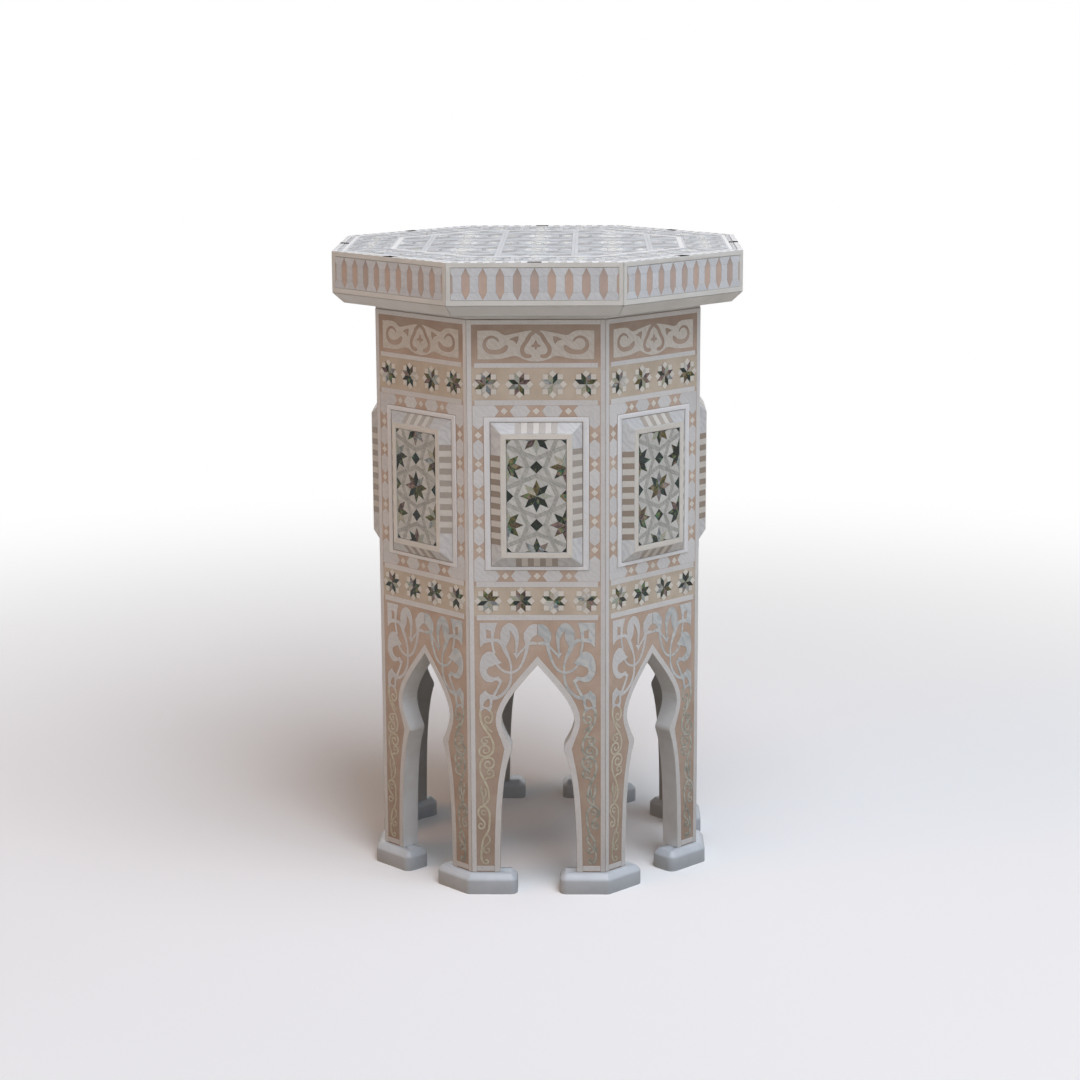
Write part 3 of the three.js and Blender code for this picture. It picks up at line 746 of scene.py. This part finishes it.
surround = {"out": (48.0, 312.2, 455.2), "in": (42.55, 315.8, 450.8)}        # half width, foot and head
bead = {"sunk": 0.3, "proud": 1.1, "soft": 0.75, "rounds": 2}                # a low rounded moulding
rims = [box(-w, low, w, high) for w, low, high in (surround["out"], surround["in"])]
moulding = sawPlate(rims, beadBone, bead)
pick(moulding)
bpy.ops.object.shade_smooth_by_angle(angle=smoothUnder)
goRound([moulding], "medallion_surround", wall)
print("stage: star rows and medallion borders")


# frieze
frieze = {
    "half": [(53.0, 534.5, "c"), (44, 534.8), (38, 534.7), (33.5, 533.4), (31, 531.6), (28.4, 530.4, "c"),
             (25, 530.7), (20, 531.9), (13, 533.3), (8, 534.2), (4.4, 534.6), (3.4, 534.2, "c"), (6.4, 531.6),
             (8.6, 528.4), (10.4, 525.0), (13.4, 520.6), (14.3, 516.4), (12.8, 512.0), (9, 509.5),
             (5.0, 509.6, "c"), (3.8, 511.0), (4.8, 512.7, "c"), (7.8, 513.0), (9.9, 514.5), (10.7, 517),
             (9.6, 520.0), (6.8, 524.0), (4.8, 527.6), (3.6, 529.6), (1.8, 530.9)],
    "foot": [(0, 506.2), (6, 506.8), (12, 508.6), (16.5, 510.9), (20, 511.3), (24, 510.6), (30, 509.1),
             (38, 508.4), (46, 508.3), (53.0, 508.3, "c")],
    "curl": [(34.0, 524.8, 1.3), (36, 527.4, 1.9), (40, 528.8, 2.3), (44.1, 527.3, 2.7), (46.5, 523.4, 3.1),
             (46.0, 518.9, 3.5), (42.8, 515.8, 3.9), (38, 514.8, 4.1), (32, 515.6, 4.5), (28.2, 517.9, 4.7),
             (26.4, 520.4, 2.8)],
    "horn": [(24.2, 526.4, "c"), (19.5, 528.8), (15.6, 529.4, "c"), (16.0, 525.8), (17.6, 522.0, "c"),
             (19.6, 524.9)],
    "bud": [(0, 526.2, "c"), (1.3, 523.4), (1.9, 522.2), (4.2, 520.9), (3.2, 519.2), (1.5, 519.6), (0.9, 518.4),
            (0, 516.6, "c")]}
lower, upper = frieze["foot"], frieze["half"]
scroll = mirrored(lower[1:]) + lower + upper + [(0, 532.4, "c")] + mirrored(upper)
curl, horn, bud = frieze["curl"], frieze["horn"], frieze["bud"]
holes = [band(curl), band(mirrored(curl)), wave(horn, True), wave(mirrored(horn), True),
         wave(bud + mirrored(bud[1:-1]), True)]
goRound([sawPlate([wave(scroll, True)] + holes, friezePearl, wall)], "frieze_scroll", wall)
print("stage: frieze")


# arabesque over the arch and down the legs; vines are x, y, width
arabesque = {
    "weight": 1.28, "legWeight": 1.5, "legTop": 180.0, "lift": 0.004, "tones": (-1.6, 1.0),
    "vines": [
        [(47.5, 245.2, 2.8), (42, 245.8, 2.4), (37, 245.2, 2.6), (33.2, 242.2, 3.0), (30.4, 236.7, 3.2),
         (28.0, 231.6, 2.6), (26.2, 227, 1.7), (24.8, 221, 1.6), (24.8, 214, 1.6), (25.0, 208, 1.8),
         (26.4, 202.6, 2.0), (29.4, 197.2, 2.2), (33.6, 193, 2.4), (37.6, 190.6, 2.5), (42.5, 189.6, 2.6)],
        [(40.6, 256, 2.2), (41.8, 250, 2.0), (42.1, 244, 1.7), (41.4, 238.5, 1.7), (40.2, 233.5, 1.8)],
        [(38.6, 223.6, 1.6), (36.4, 220.4, 1.6), (33, 217.0, 1.6), (28.8, 214.9, 1.7), (24.2, 214.6, 1.8),
         (19.8, 216.5, 1.8), (16.2, 220.2, 1.8), (13.8, 225, 1.9), (11.7, 230.6, 2.1), (10.2, 236, 2.3),
         (9.6, 241, 2.6), (10.6, 246.6, 3.0), (11.0, 250, 3.0)],
        [(19.0, 231.2, 1.6), (15.4, 234.8, 1.5), (12.0, 238.6, 1.5), (9.9, 241.6, 1.5)],
        [(34.2, 206.4, 1.6), (36.4, 201.2, 1.7), (39.0, 196.0, 1.9), (41.4, 191.6, 2.2)],
        [(9.4, 242.4, 2.6), (5.0, 242.9, 2.5), (0.9, 242.4, 1.6)],
        [(53.6, 178.8, 1.9), (53.9, 172, 1.5), (52.2, 165, 1.4), (48.6, 158.6, 1.4), (45, 153.2, 1.4),
         (42.6, 148, 1.4), (41.7, 142, 1.5), (43.2, 136.6, 1.5), (47.6, 133.1, 1.5), (52.2, 130.2, 1.5),
         (54.5, 125.2, 1.4), (54.3, 119, 1.4), (52.2, 112.4, 1.4), (49.4, 106.6, 1.4), (47.2, 100.6, 1.4),
         (46.5, 94, 1.4), (48, 88.6, 1.4), (51.8, 85.4, 1.3)],
        [(46.4, 133.6, 0.9), (51.4, 133, 1.3), (55.1, 136, 1.4), (54.6, 140.8, 1.4), (50.8, 143.8, 1.4),
         (46.8, 142.4, 1.3), (45.8, 138.6, 1.3), (48.4, 136.2, 1.2), (51.2, 137.8, 1.1), (50.4, 140, 1)],
        [(53, 129.4, 0.9), (48, 132, 1.3), (43.4, 131.2, 1.4), (41.3, 127.2, 1.4), (42.8, 122.9, 1.4),
         (46.8, 121.4, 1.3), (49.9, 123.8, 1.3), (49.4, 127.4, 1.2), (46.4, 128.2, 1.1), (45.2, 126, 1)],
        [(51.2, 109.6, 0.9), (47.8, 112.2, 1.2), (44, 112.6, 1.3), (41.8, 115.4, 1.3), (42.9, 119, 1.3),
         (46.2, 119.9, 1.2), (48.1, 117.6, 1.1), (46.8, 115.5, 1), (45, 116.6, 0.9)],
        [(44.4, 152.6, 0.9), (47.4, 152, 1.2), (51.2, 151.4, 1.2), (53.1, 148.6, 1.2), (51.2, 145.8, 1.2),
         (48.1, 146.2, 1.1), (47.6, 148.6, 1), (49.6, 149.2, 0.9)],
        [(44.6, 178, 1.5), (42.7, 173.4, 1.3), (43, 168.6, 1.3), (45.8, 165.6, 1.3), (49, 167.2, 1.2),
         (49.4, 170.6, 1.1), (47, 172, 1), (45.6, 170.2, 0.9)],
        [(49.8, 165.2, 0.8), (47.8, 161.6, 1.4), (45, 158.6, 1.2), (42.8, 157.2, 0.8)],
        [(53.2, 105.2, 0.8), (53.6, 100, 1.5), (52.6, 95, 1.4), (51.8, 90.4, 1.2), (52.6, 86, 1)],
        [(50.2, 101.6, 0.8), (49.2, 97.6, 1.2), (50.2, 93.8, 1.1), (51.9, 91.4, 0.8)],
        [(46.9, 60.4, 1.3), (46.2, 67, 1.4), (45.9, 73.6, 1.4), (46.6, 79.6, 1.5), (49.8, 83.6, 1.6),
         (53.6, 83.9, 1.5), (56.5, 80.8, 1.4), (56.6, 76.2, 1.4), (54.4, 72.4, 1.3), (51.6, 69.4, 1.3),
         (50.6, 66, 1.3), (52.2, 62.8, 1.3), (55.3, 62.6, 1.2), (56.4, 65.4, 1.1), (54.5, 67.4, 1),
         (53, 66, 0.9)],
        [(50, 79.4, 0.9), (52.4, 80.4, 1.1), (53.8, 78.4, 1.1), (52.6, 76, 1), (50.4, 76.4, 0.9)],
        [(46.9, 61.2, 1.3), (49, 57, 1.3), (51.8, 52.6, 1.4), (53.4, 46, 1.4), (54.1, 39, 1.4), (54, 32.8, 1.4),
         (52.3, 28.6, 1.3), (49.4, 27.4, 1.2), (47.7, 29.4, 1.2), (49.1, 31.4, 1.1), (50.6, 30.2, 0.9)],
        [(49.8, 56.6, 0.9), (46.9, 54.4, 1.3), (46, 50.4, 1.3), (48.2, 46.8, 1.3), (51.4, 43.6, 1.3),
         (51.8, 40, 1.2), (49.2, 38.2, 1.2), (46.8, 39.8, 1.1), (47.3, 42.4, 1), (49.2, 42.2, 0.9)]],
    "flag": [[(53.6, 262.4, "c"), (53.6, 246), (53.0, 238.6, "c"), (49.8, 242.2), (45.6, 243.6),
              (41.0, 243.9, "c"), (40.4, 250), (39.4, 256), (37.2, 262.4, "c")],
             [(47.6, 256.0, "c"), (47.4, 247.4, "c"), (43.4, 247.4, "c"), (43.4, 254.4, "c")]],
    "hook": [(34.0, 244.6, "c"), (34.7, 250), (33.7, 255.6), (30.6, 260), (26.2, 262.2), (21.4, 260.2),
             (18.4, 255.4), (17.1, 249.4), (17.6, 243.2), (18.6, 236.8), (18.8, 233.6, "c"), (20.7, 233.8, "c"),
             (20.6, 240.6), (20.9, 246), (22.7, 250.8), (25.8, 255.2, "c"), (25.4, 250.2), (26.2, 245.6),
             (28.6, 240.6), (31.0, 236.4, "c")],
    "hookLeaf": [(22.9, 233.2, "c"), (20.2, 233.6), (17.0, 231.2, "c"), (18.6, 229.4), (19.6, 226.8, "c"),
                 (20.6, 229.8)],
    "comma": [(33.4, 224.4, "c"), (36.4, 226.8), (38.8, 230.8), (41.6, 233.9), (45.2, 234.8), (49.2, 233),
              (52.4, 228.6), (54.0, 222), (53.8, 215.4), (51.6, 209.8), (47.6, 205.9), (42.8, 205.2),
              (38.4, 207.2), (35.4, 204.6), (32.6, 206.6, "c"), (35.2, 209.2), (36.6, 211.2, "c"),
              (40.2, 209.9), (44.0, 210.9), (46.7, 213.6), (47.2, 217.2), (45.4, 219.7), (42.2, 220.6),
              (39.2, 222.3), (36.4, 222.4)],
    "bud": [(0.35, 260.9, "c"), (4.6, 260.9), (8.4, 258.8), (10.9, 255.2), (13.1, 252.3, "c"), (12.1, 249.4),
            (11.0, 246.4), (9.6, 243.6, "c"), (7.0, 244.8), (5.4, 247.4), (2.6, 249.8), (0.35, 250.6, "c")],
    "palmette": [(48.6, 197.6, "c"), (46.4, 194.6), (43.6, 193.2), (40.2, 192.2), (39.6, 189.4), (42.0, 187.6),
                 (42.5, 184.4), (43.2, 180.4), (44.8, 176.4, "c"), (47.4, 178.6), (49.9, 179.6),
                 (53.6, 176.8, "c"), (54.2, 181.6), (54.2, 191.6), (51.8, 194.8)],
    "palmetteEye": [(48.8, 187.6, "c"), (45.6, 189.4), (44.9, 186.2), (45.4, 182.0), (48.0, 181.0),
                    (51.0, 182.8)],
}

def arabesqueHalf(hand, upper, leg):               # hand turns the drawing over or leaves it
    parts = []
    def lay(outlines, shell=upper):                # crossing vines differ by a hair in height, as laid ones do
        raised = wall["proud"] + arabesque["lift"] * len(parts)
        parts.append(sawPlate(outlines, shell, dict(wall, proud=raised)))
    for vine in arabesque["vines"]:
        low = vine[0][1] < arabesque["legTop"]
        weight = arabesque["legWeight"] if low else arabesque["weight"]
        lay([band(hand([(x, z, w * weight) for x, z, w in vine]), 3)], leg if low else upper)
    lay([wave(hand(line), True) for line in arabesque["flag"]])
    for key in ("hook", "hookLeaf", "comma", "bud"):
        lay([wave(hand(arabesque[key]), True, 3)])
    lay([wave(hand(arabesque[key]), True, 3) for key in ("palmette", "palmetteEye")])
    return parts

rightHalf = arabesqueHalf(list, bluePearl, mossPearl)                        # sawn from bluer and greyer shells
leftHalf = arabesqueHalf(mirrored, motherOfPearl, strawPearl)
goRound(rightHalf + leftHalf, "arch_arabesque", wall, arabesque["tones"])
print("stage: arabesque")


# medallion: bars on the bevel, bone frame, star field
# slip: how much higher each bevel's bars sit, left and right
bevelBars = {"across": 37.5, "long": 11.4, "reach": 156.65, "tilt": math.degrees(math.atan2(7.7, 9.5)),
             "pitch": 11.1, "endHeight": 62.5, "slip": {-1: -4.2, 1: 2.2}, "tones": (-0.8, 0.8),
             "sideBars": 15, "endBars": 7}
thin = {"sunk": 0.3, "proud": 0.2, "soft": 0.08}
middle = 383.3                                     # height of the medallion's middle in mm
barLong, step = bevelBars["long"] / 2, bevelBars["pitch"] / 2
sideBars, endBars = bevelBars["sideBars"], bevelBars["endBars"]
bars = []
def layBar(halfX, halfY, shade, x, y, tilt, axis):
    bar = cutChip(box(-halfX, -halfY, halfX, halfY), shade, thin)
    bar.data.transform(moved(x, middle + y) @ Matrix.Rotation(math.radians(tilt), 4, axis))
    bars.append(bar)

# the left bevel's dark bars are stained bone; the right and end bevels' take the copy with painted sheen
for hand in (-1, 1):
    for i in range(sideBars):
        shade = creamBar if i % 2 else stainedBar if hand < 0 else paintedSheenBar
        height = bevelBars["slip"][hand] + (i - sideBars // 2) * step
        layBar(barLong, step / 2, shade, hand * bevelBars["across"], height, hand * bevelBars["tilt"], "Y")
for hand in (-1, 1):
    for i in range(endBars):
        layBar(step / 2, barLong, creamBar if i % 2 else paintedSheenBar, (i - endBars // 2) * step,
               hand * bevelBars["endHeight"], -hand * bevelBars["tilt"], "X")
goRound(bars, "bevel_bars", bevelBars, bevelBars["tones"])

tileFrame = {"in": (27.7, 52.7), "out": (32.6, 57.6), "reach": 160.5}
(ix, iy), (ox, oy) = tileFrame["in"], tileFrame["out"]
mitred = [[(ix, -iy), (ox, -oy), (ox, oy), (ix, iy)], [(-ox, -oy), (-ix, -iy), (-ix, iy), (-ox, oy)],
          [(-ix, iy), (ix, iy), (ox, oy), (-ox, oy)], [(-ox, -oy), (ox, -oy), (ix, -iy), (-ix, -iy)]]
frameBars = [cutChip([(x, middle + y) for x, y in corners], creamBone, thin) for corners in mitred]
goRound(frameBars, "medallion_bone_frame", tileFrame)

field = {"pitch": 27.0, "strap": 3.7, "tip": 15.2, "half": (27.15, 52.15), "reach": 159.9,
         "petalTones": (0.0, 0.84), "diamondTones": (0.0, 0.34), "strapTones": (-0.5, 1.0),
         "pearlTones": (-2.4, 0.6)}
flush = {"sunk": 0.3, "proud": 0.36, "soft": 0.1}

def starGround():
    # eight-petal stars in octagon rings that touch at their corners; the cells between hold diamonds
    pitch, h, tip, (reachX, reachY) = field["pitch"], field["strap"] / 2, field["tip"], field["half"]
    ringOut, slant = pitch / math.sqrt(2), math.sqrt(0.5)
    long, mitre, point = 2 * ringOut * math.sin(eighth), h * tanEighth, h / tanEighth
    inn, side = ringOut - h / math.cos(eighth), petalSide(tip)
    kite = [(side * math.cos(eighth), side * math.sin(eighth)), (tip, 0), (inn, 0), (inn * slant, inn * slant),
            (tip * slant, tip * slant)]
    # half a strap's copies run from a ring's free corner to a touching one, and half the other way
    strapA = [(-mitre, -h), (long - point, -h), (long, 0), (long - mitre, h), (mitre, h)]
    strapB = [(long - x, y) for x, y in strapA[::-1]]
    dia = pitch - ringOut - h / math.cos(eighth)
    deep = pitch / 2 - h / math.sin(eighth) * slant
    def spots(odd, reach):                         # every other crossing of the grid, as far as the tile goes
        grid = [(i, j) for i in range(-3, 4) for j in range(-3, 4) if (i + j) % 2 == odd]
        return [(i * pitch, j * pitch) for i, j in grid
                if abs(i * pitch) < reachX + reach and abs(j * pitch) < reachY + reach]
    stars, cells = spots(0, ringOut), spots(1, pitch / 2)
    def straps(corners, turns):                    # each starts at the ring's corner of that turn
        places = [(x + polar(ringOut, t)[0], y + polar(ringOut, t)[1], t + 112.5) for x, y in stars
                  for t in turns]
        return laid(cutChip(corners, greyShell, flush), places)
    def turnedRound(chip, places, turns):
        return laid(chip, [(x, y, t) for x, y in places for t in turns])
    return (turnedRound(cutChip(petalCorners(side), abalone, flush), stars, ring(8)),
            turnedRound(diamondChip(dia - seamAtTip, abalone, flush), cells, [0]),
            straps(strapA, ring(4)) + straps(strapB, ring(4, 45)),
            turnedRound(cutChip(kite, tilePearl, flush), stars, ring(8))
            + turnedRound(cutChip([(dia, 0), (deep, deep), (0, dia)], tilePearl, flush), cells, ring(4)))

def trimField(mosaic):                             # lifted to the medallion and sawn off at the tile's edge
    halfX, halfY = field["half"]
    mosaic.data.transform(moved(0, middle))
    sawAlong(mosaic, [((halfX, 0), (1, 0)), ((-halfX, 0), (-1, 0)), ((0, middle + halfY), (0, 1)),
                      ((0, middle - halfY), (0, -1))])

petals, cellDiamonds, strapWork, pearlWork = starGround()
goRound(petals, "field_petals", field, field["petalTones"], trimField)
goRound(cellDiamonds, "field_diamonds", field, field["diamondTones"], trimField)
goRound(strapWork, "field_straps", field, field["strapTones"], trimField)
goRound(pearlWork, "field_pearl", field, field["pearlTones"], trimField)
print("stage: medallions")


# apron
apron = {"reach": 190.4, "low": 566.3, "high": 595.1, "half": 74.5, "pitch": 15.3, "barHalf": 3.65,
         "shoulder": 7.2, "endShoulder": 2.4, "pearlTones": (-1.8, 0.6), "bars": 4}
bed = {"sunk": 0.2, "proud": 0.46, "soft": 0.1}
w, p, end, mid = apron["barHalf"], apron["pitch"], apron["half"], (apron["low"] + apron["high"]) / 2
tall = (apron["high"] - apron["low"]) / 2
neck = tall - apron["shoulder"]                    # where a bar's straight sides end, from the apron's middle
endNeck = neck + apron["endShoulder"]
count = apron["bars"]                              # whole bars on each side of the middle one
lastIn, endIn = count * p + w, (count + 1) * p - w

def flipped(points, flipX, flipY):
    turnedOver = [(flipX * x, mid + flipY * y) for x, y in points]
    return turnedOver if flipX * flipY > 0 else turnedOver[::-1]

barShape = [(0, -tall), (w, -neck), (w, neck), (0, tall), (-w, neck), (-w, -neck)]
fullBars = laid(cutChip(barShape, peachBars, bed), [(i * p, mid, 0) for i in range(-count, count + 1)])
endBar = [(endIn, -neck), (end, -endNeck), (end, endNeck), (endIn, neck)]
endBars = [cutChip([(x, mid + y) for x, y in endBar], peachBars, bed),
           cutChip([(-x, mid + y) for x, y in (endBar[1], endBar[0], endBar[3], endBar[2])], peachBars, bed)]
goRound(fullBars + endBars, "apron_bars", apron)
gaps = [(i + 0.5) * p for i in range(-count - 1, count + 1)]
panes = laid(cutChip(box(-p / 2 + w, -neck, p / 2 - w, neck), apronPearl, bed), [(u, mid, 0) for u in gaps])
cap = [(-p / 2 + w, neck), (p / 2 - w, neck), (p / 2, tall), (-p / 2, tall)]
caps = laid(cutChip(cap, apronPearl, bed), [(u, mid, t) for u in gaps[1:-1] for t in (0, 180)])
lastPiece = [(count * p, -tall), (end, -tall), (end, -endNeck), (endIn, -neck), (lastIn, -neck)]
ends = [cutChip(flipped(lastPiece, flipX, flipY), apronPearl, bed) for flipX in (1, -1) for flipY in (1, -1)]
goRound(panes + caps + ends, "apron_pearl", apron, apron["pearlTones"])
print("stage: apron")


# top
top = {"height": 599.4, "cell": 70.0, "grid": 3.0, "starTip": 13.0, "square": 5.0, "ringIn": 19.0,
       "ringOut": 21.6, "fieldReach": 133.0, "lineOut": 138.0, "bandOut": 178.6, "lineTwo": 182.0,
       "edge": 185.6, "bandCell": 40.8, "bandNudge": 0.1, "dash": 5.6, "black": 12.6, "chipsPerCell": 80,
       "hair": 0.01}
topDepth = {"sunk": 0.2, "proud": 0.34, "soft": 0.1}

def topCell():
    # one square of the mosaic: star, notch squares, octagon ring, diamonds, corner pieces, pale grid
    out, inn = top["cell"] / 2, top["cell"] / 2 - top["grid"]
    r0, r1, side = top["ringIn"], top["ringOut"], petalSide(top["starTip"])
    squareHalf, far = top["square"] / math.sqrt(2), side + top["square"] * math.sqrt(2)
    notch, arm = side + squareHalf, (r1 + inn) / 2
    def turns(corners, finish, count, turn=0.0):
        return laid(cutChip(corners, finish, topDepth), [(0, 0, t) for t in ring(count, turn)])
    def diamondRing(radius, finish, away, count, squash=(1, 1)):
        return laid(diamondChip(radius, finish, topDepth, squash), [(*polar(away, t), t) for t in ring(count)])
    parts = {"petal": turns(petalCorners(side), abalone, 8, 22.5),
             "bone": diamondRing(squareHalf - seamAtTip, bleachedBone, notch, 8)}
    # between two notch squares: from the petal's tip out to the ring, in two halves
    lens = [(notch, squareHalf), (far, 0), (r0, 0), (r0, r0 * tanEighth)]
    c, s = polar(1, 45)
    otherLens = [(x * c + y * s, x * s - y * c) for x, y in lens[::-1]]      # mirrored over the petal's axis
    parts["pearl"] = turns(lens, topPearl, 8) + turns(otherLens, topPearl, 8)
    parts["grey"] = turns([(r0, -r0 * tanEighth), (r1, -r1 * tanEighth), (r1, r1 * tanEighth),
                           (r0, r0 * tanEighth)], topGrey, 8)
    dx, dy = (inn - r1) / 2, r1 * tanEighth
    parts["petal"] += diamondRing(1, abalone, arm, 4, (dx - seamAtTip, dy - seamAtTip))
    for sx in (1, -1):
        for sy in (1, -1):
            tri = [(arm + sx * dx, 0), (arm + sx * dx, sy * dy), (arm, sy * dy)]
            parts["pearl"] += turns(tri if sx * sy > 0 else tri[::-1], topPearl, 4)
    knee = (r1 + dy) / 2                           # each corner piece keeps a hair to its side of the diagonal
    past = knee + top["hair"]
    parts["grey"] += turns([(r1, dy), (inn, dy), (inn, inn), (past, knee)], topGrey, 4)
    parts["pearl"] += turns([(dy, r1), (knee, past), (inn, inn), (dy, inn)], topPearl, 4)
    parts["line"] = turns([(inn, -inn), (out, -out), (out, out), (inn, inn)], dashPearl, 4)
    return {key: joinUp(number(chips), "cell_" + key) for key, chips in parts.items()}

def spread(cell, spots, scale=1.0):                # the cell laid again at each spot, its chips renumbered
    copies = []
    for i, (x, y, turn) in enumerate(spots):
        copy = copyOf(cell, moved(x, y) @ turned(turn) @ Matrix.Diagonal((scale, scale, 1, 1)))
        fresh = [v + i * top["chipsPerCell"] for v in chipNumbers(copy)]
        copy.data.attributes["chipNumber"].data.foreach_set("value", fresh)
        copies.append(copy)
    return copies

def finishTop(thing, name, tones=(-1, 1)):
    thing.data.transform(moved(0, 0, top["height"]))
    giveTones(thing, tones, name)
    settle(thing, name)

around = [(0, 0, t) for t in ring(8)]
mitreCuts = [((0, 0), (math.cos(eighth), math.sin(eighth))), ((0, 0), (-math.cos(eighth), math.sin(eighth)))]
def finishRound(side, name, tones):      # one side's pieces are mitred and laid along all eight
    sawAlong(side, mitreCuts)
    whole = joinUp(spread(side, around), "top_round")
    bpy.data.objects.remove(side)
    finishTop(whole, name, tones)

cell = topCell()
fieldSpots = [(i * top["cell"], j * top["cell"], 0) for i in range(-2, 3) for j in range(-2, 3)
              if abs(i) + abs(j) < 4]
octagonCuts = [(polar(top["fieldReach"], t), polar(1, t)) for t in ring(8)]
bandMid = (top["lineOut"] + top["bandOut"]) / 2 + top["bandNudge"]
bandSpots = [(i * top["bandCell"], -bandMid, 0) for i in range(-2, 3)]
slots = {"petal": ("abalone", (0.4, 0.98)), "bone": ("bone", (-1, 1)),
         "pearl": ("mother_of_pearl", (-1.8, 1.2)), "grey": ("mother_of_pearl", (-0.8, 1.4)),
         "line": ("mother_of_pearl", (-6.6, -4.6))}
for key, (slotName, tones) in slots.items():
    fieldPart = joinUp(spread(cell[key], fieldSpots), "top_field_" + key)
    sawAlong(fieldPart, octagonCuts)
    finishTop(fieldPart, "top_field_" + key, tones)
    bandSide = joinUp(spread(cell[key], bandSpots, top["bandCell"] / top["cell"]), "top_band_side")
    bpy.data.objects.remove(cell[key])
    finishRound(bandSide, "top_band_" + key, tones)

def octagonLine(inside, outside):
    return [(-inside * tanEighth, -inside), (-outside * tanEighth, -outside), (outside * tanEighth, -outside),
            (inside * tanEighth, -inside)]

lines = []
for inside, outside in ((top["fieldReach"], top["lineOut"]), (top["bandOut"], top["lineTwo"])):
    lines += laid(cutChip(octagonLine(inside, outside), bleachedBone, topDepth), around)
finishTop(joinUp(number(lines), "top_lines"), "top_lines")

dashes = {"pale": [], "grey": []}
dashTones = {"pale": (-0.2, 1.4), "grey": (0.0, 1.4)}
i, x = 0, top["black"] / 2
while x < top["edge"] * tanEighth:
    dash = box(x, -top["edge"], x + top["dash"], -top["lineTwo"])
    kind, shell = ("grey", topGrey) if i % 2 else ("pale", dashPearl)
    dashes[kind] += [cutChip(dash, shell, topDepth), cutChip(mirrored(dash), shell, topDepth)]
    i, x = i + 1, x + top["dash"]
for kind, chips in dashes.items():
    finishRound(joinUp(number(chips), "dash"), "top_dashes_" + kind, dashTones[kind])
mark = cutChip(box(-top["black"] / 2, -top["edge"], top["black"] / 2, -top["lineTwo"]), ebony, topDepth)
finishTop(joinUp(number(laid(mark, around)), "top_ebony_marks"), "top_ebony_marks")
print("stage: top mosaic")
